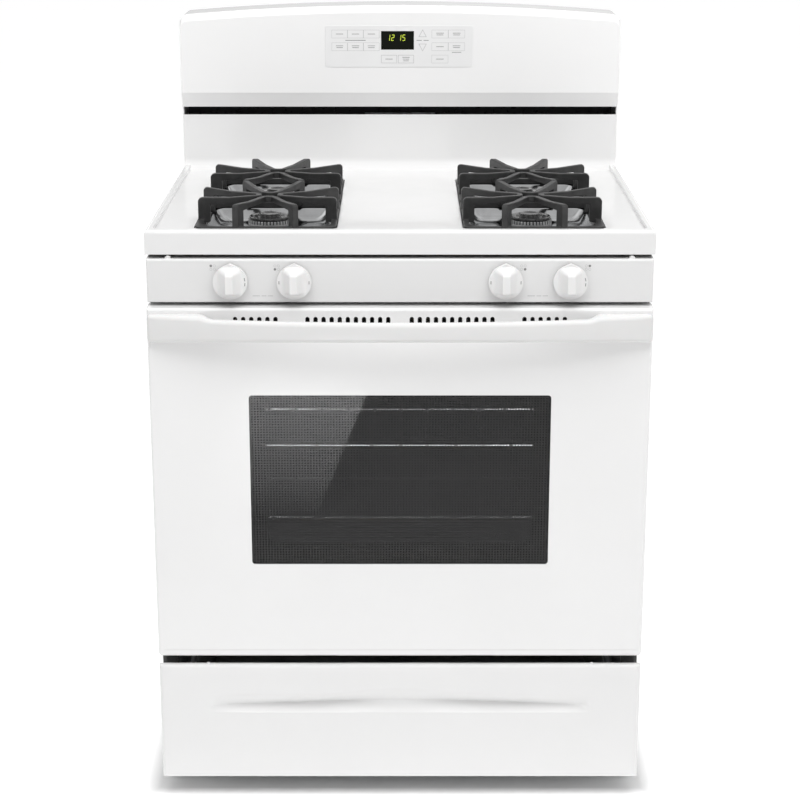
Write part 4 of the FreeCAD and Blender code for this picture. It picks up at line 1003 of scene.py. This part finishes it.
def studio_sky():
    """An even white surround that is brighter overhead."""
    world = bpy.data.worlds.new("studio_sky")
    world.use_nodes = True
    bpy.context.scene.world = world
    spot = add_node(world, "ShaderNodeTexCoord").outputs["Generated"]
    axes = add_node(world, "ShaderNodeSeparateXYZ", {"Vector": spot}).outputs
    level = add_node(world, "ShaderNodeMapRange", {
        "Value": axes["Z"], "From Min": 0.0, "From Max": 1.0, "To Min": 0.52, "To Max": 0.82
    }).outputs["Result"]
    depth = add_node(world, "ShaderNodeMapRange", {
        "Value": axes["Y"], "From Min": -1.0, "From Max": 0.2, "To Min": 0.86, "To Max": 1.0
    }).outputs["Result"]
    panels = add_node(world, "ShaderNodeTexNoise", {
        "Vector": spot, "Scale": 1.7, "Detail": 1.0}).outputs["Fac"]
    light = add_node(world, "ShaderNodeMapRange", {
        "Value": panels, "From Min": 0.3, "From Max": 0.7, "To Min": 0.5, "To Max": 1.5}).outputs["Result"]
    level = add_node(world, "ShaderNodeMath", {0: level, 1: light}, operation="MULTIPLY").outputs[0]
    level = add_node(world, "ShaderNodeMath", {0: level, 1: depth}, operation="MULTIPLY").outputs[0]
    background = world.node_tree.nodes["Background"]
    background.inputs["Color"].default_value = (1.0, 1.0, 1.0, 1.0)
    world.node_tree.links.new(level, background.inputs["Strength"])


def softbox(name, spot, target, size, power):
    """A rectangular area light that faces the target and is itself out of the picture."""
    lamp = bpy.data.lights.new(name, "AREA")
    lamp.shape = "RECTANGLE"
    lamp.size, lamp.size_y = size
    lamp.energy = power
    made = bpy.data.objects.new(name, lamp)
    bpy.context.scene.collection.objects.link(made)
    made.location = spot
    made.rotation_euler = (Vector(target) - Vector(spot)).to_track_quat("-Z", "Y").to_euler()
    made.visible_camera = False
    return made


CARD_Y = -1.6
CARD_CORNERS = ((-0.33, 0.30), (-0.071, 0.30), (-0.192, 0.0), (-0.33, 0.0))  # x, z


def window_card():
    """A white card in front of the door, seen only as a reflection: its slanted edge crosses the window."""
    mesh = bpy.data.meshes.new("window_card")
    mesh.from_pydata([(x, CARD_Y, z) for x, z in CARD_CORNERS], [], [(0, 1, 2, 3)])
    card = bpy.data.objects.new("window_card", mesh)
    bpy.context.scene.collection.objects.link(card)
    made = principled("card_white", tone(0.8), 0.8, sockets={"Emission Color": (1.0, 1.0, 1.0, 1.0)})
    height = add_node(made, "ShaderNodeSeparateXYZ", {"Vector": place_on_object(made)}).outputs["Z"]
    glow = add_node(made, "ShaderNodeMapRange", {
        "Value": height, "From Min": 0.0, "From Max": 0.30, "To Min": 0.0, "To Max": 5.3}).outputs["Result"]
    made.node_tree.links.new(glow, shader_of(made).inputs["Emission Strength"])
    mesh.materials.append(made)
    for kind in ("camera", "diffuse", "shadow", "transmission"):
        setattr(card, "visible_" + kind, False)


def studio_lights():
    """One large softbox above the front, and a small one that lights the oven's inside."""
    softbox("top", (0.2, -1.25, 3.2), (0, -0.2, 0.6), (3.0, 1.8), 64).visible_glossy = False
    softbox("cavity", (0.0, -0.12, 0.73), (0, 0, 0.3), (0.5, 0.26), 3.0)


CAMERA_LENS = 89.6
CAMERA_AT = (0.0, -3.19, 1.5)
CAMERA_DOWN = 0.2845    # radians below level


def add_camera():
    """The main viewpoint: above the cooktop, looking a little down."""
    data = bpy.data.cameras.new("camera")
    data.sensor_width = 36.0
    data.lens = CAMERA_LENS
    data.clip_end = 100.0
    camera = bpy.data.objects.new("camera", data)
    bpy.context.scene.collection.objects.link(camera)
    camera.location = CAMERA_AT
    camera.rotation_euler = (math.radians(90) - CAMERA_DOWN, 0, 0)
    bpy.context.scene.camera = camera


# ---- build --------------------------------------------------------------------------
dress_all()
for each_spot in BURNER_SPOTS:
    knob(each_spot)
burner_maps()
push_to_turn_marks()
keypad_printing()
display_digits()
bowed_handle()
drawer_face()
cast_bases()
enamel_caps()
chrome_pans()
studio_floor()
studio_sky()
window_card()
studio_lights()
add_camera()
bpy.context.scene.view_settings.view_transform = "Standard"
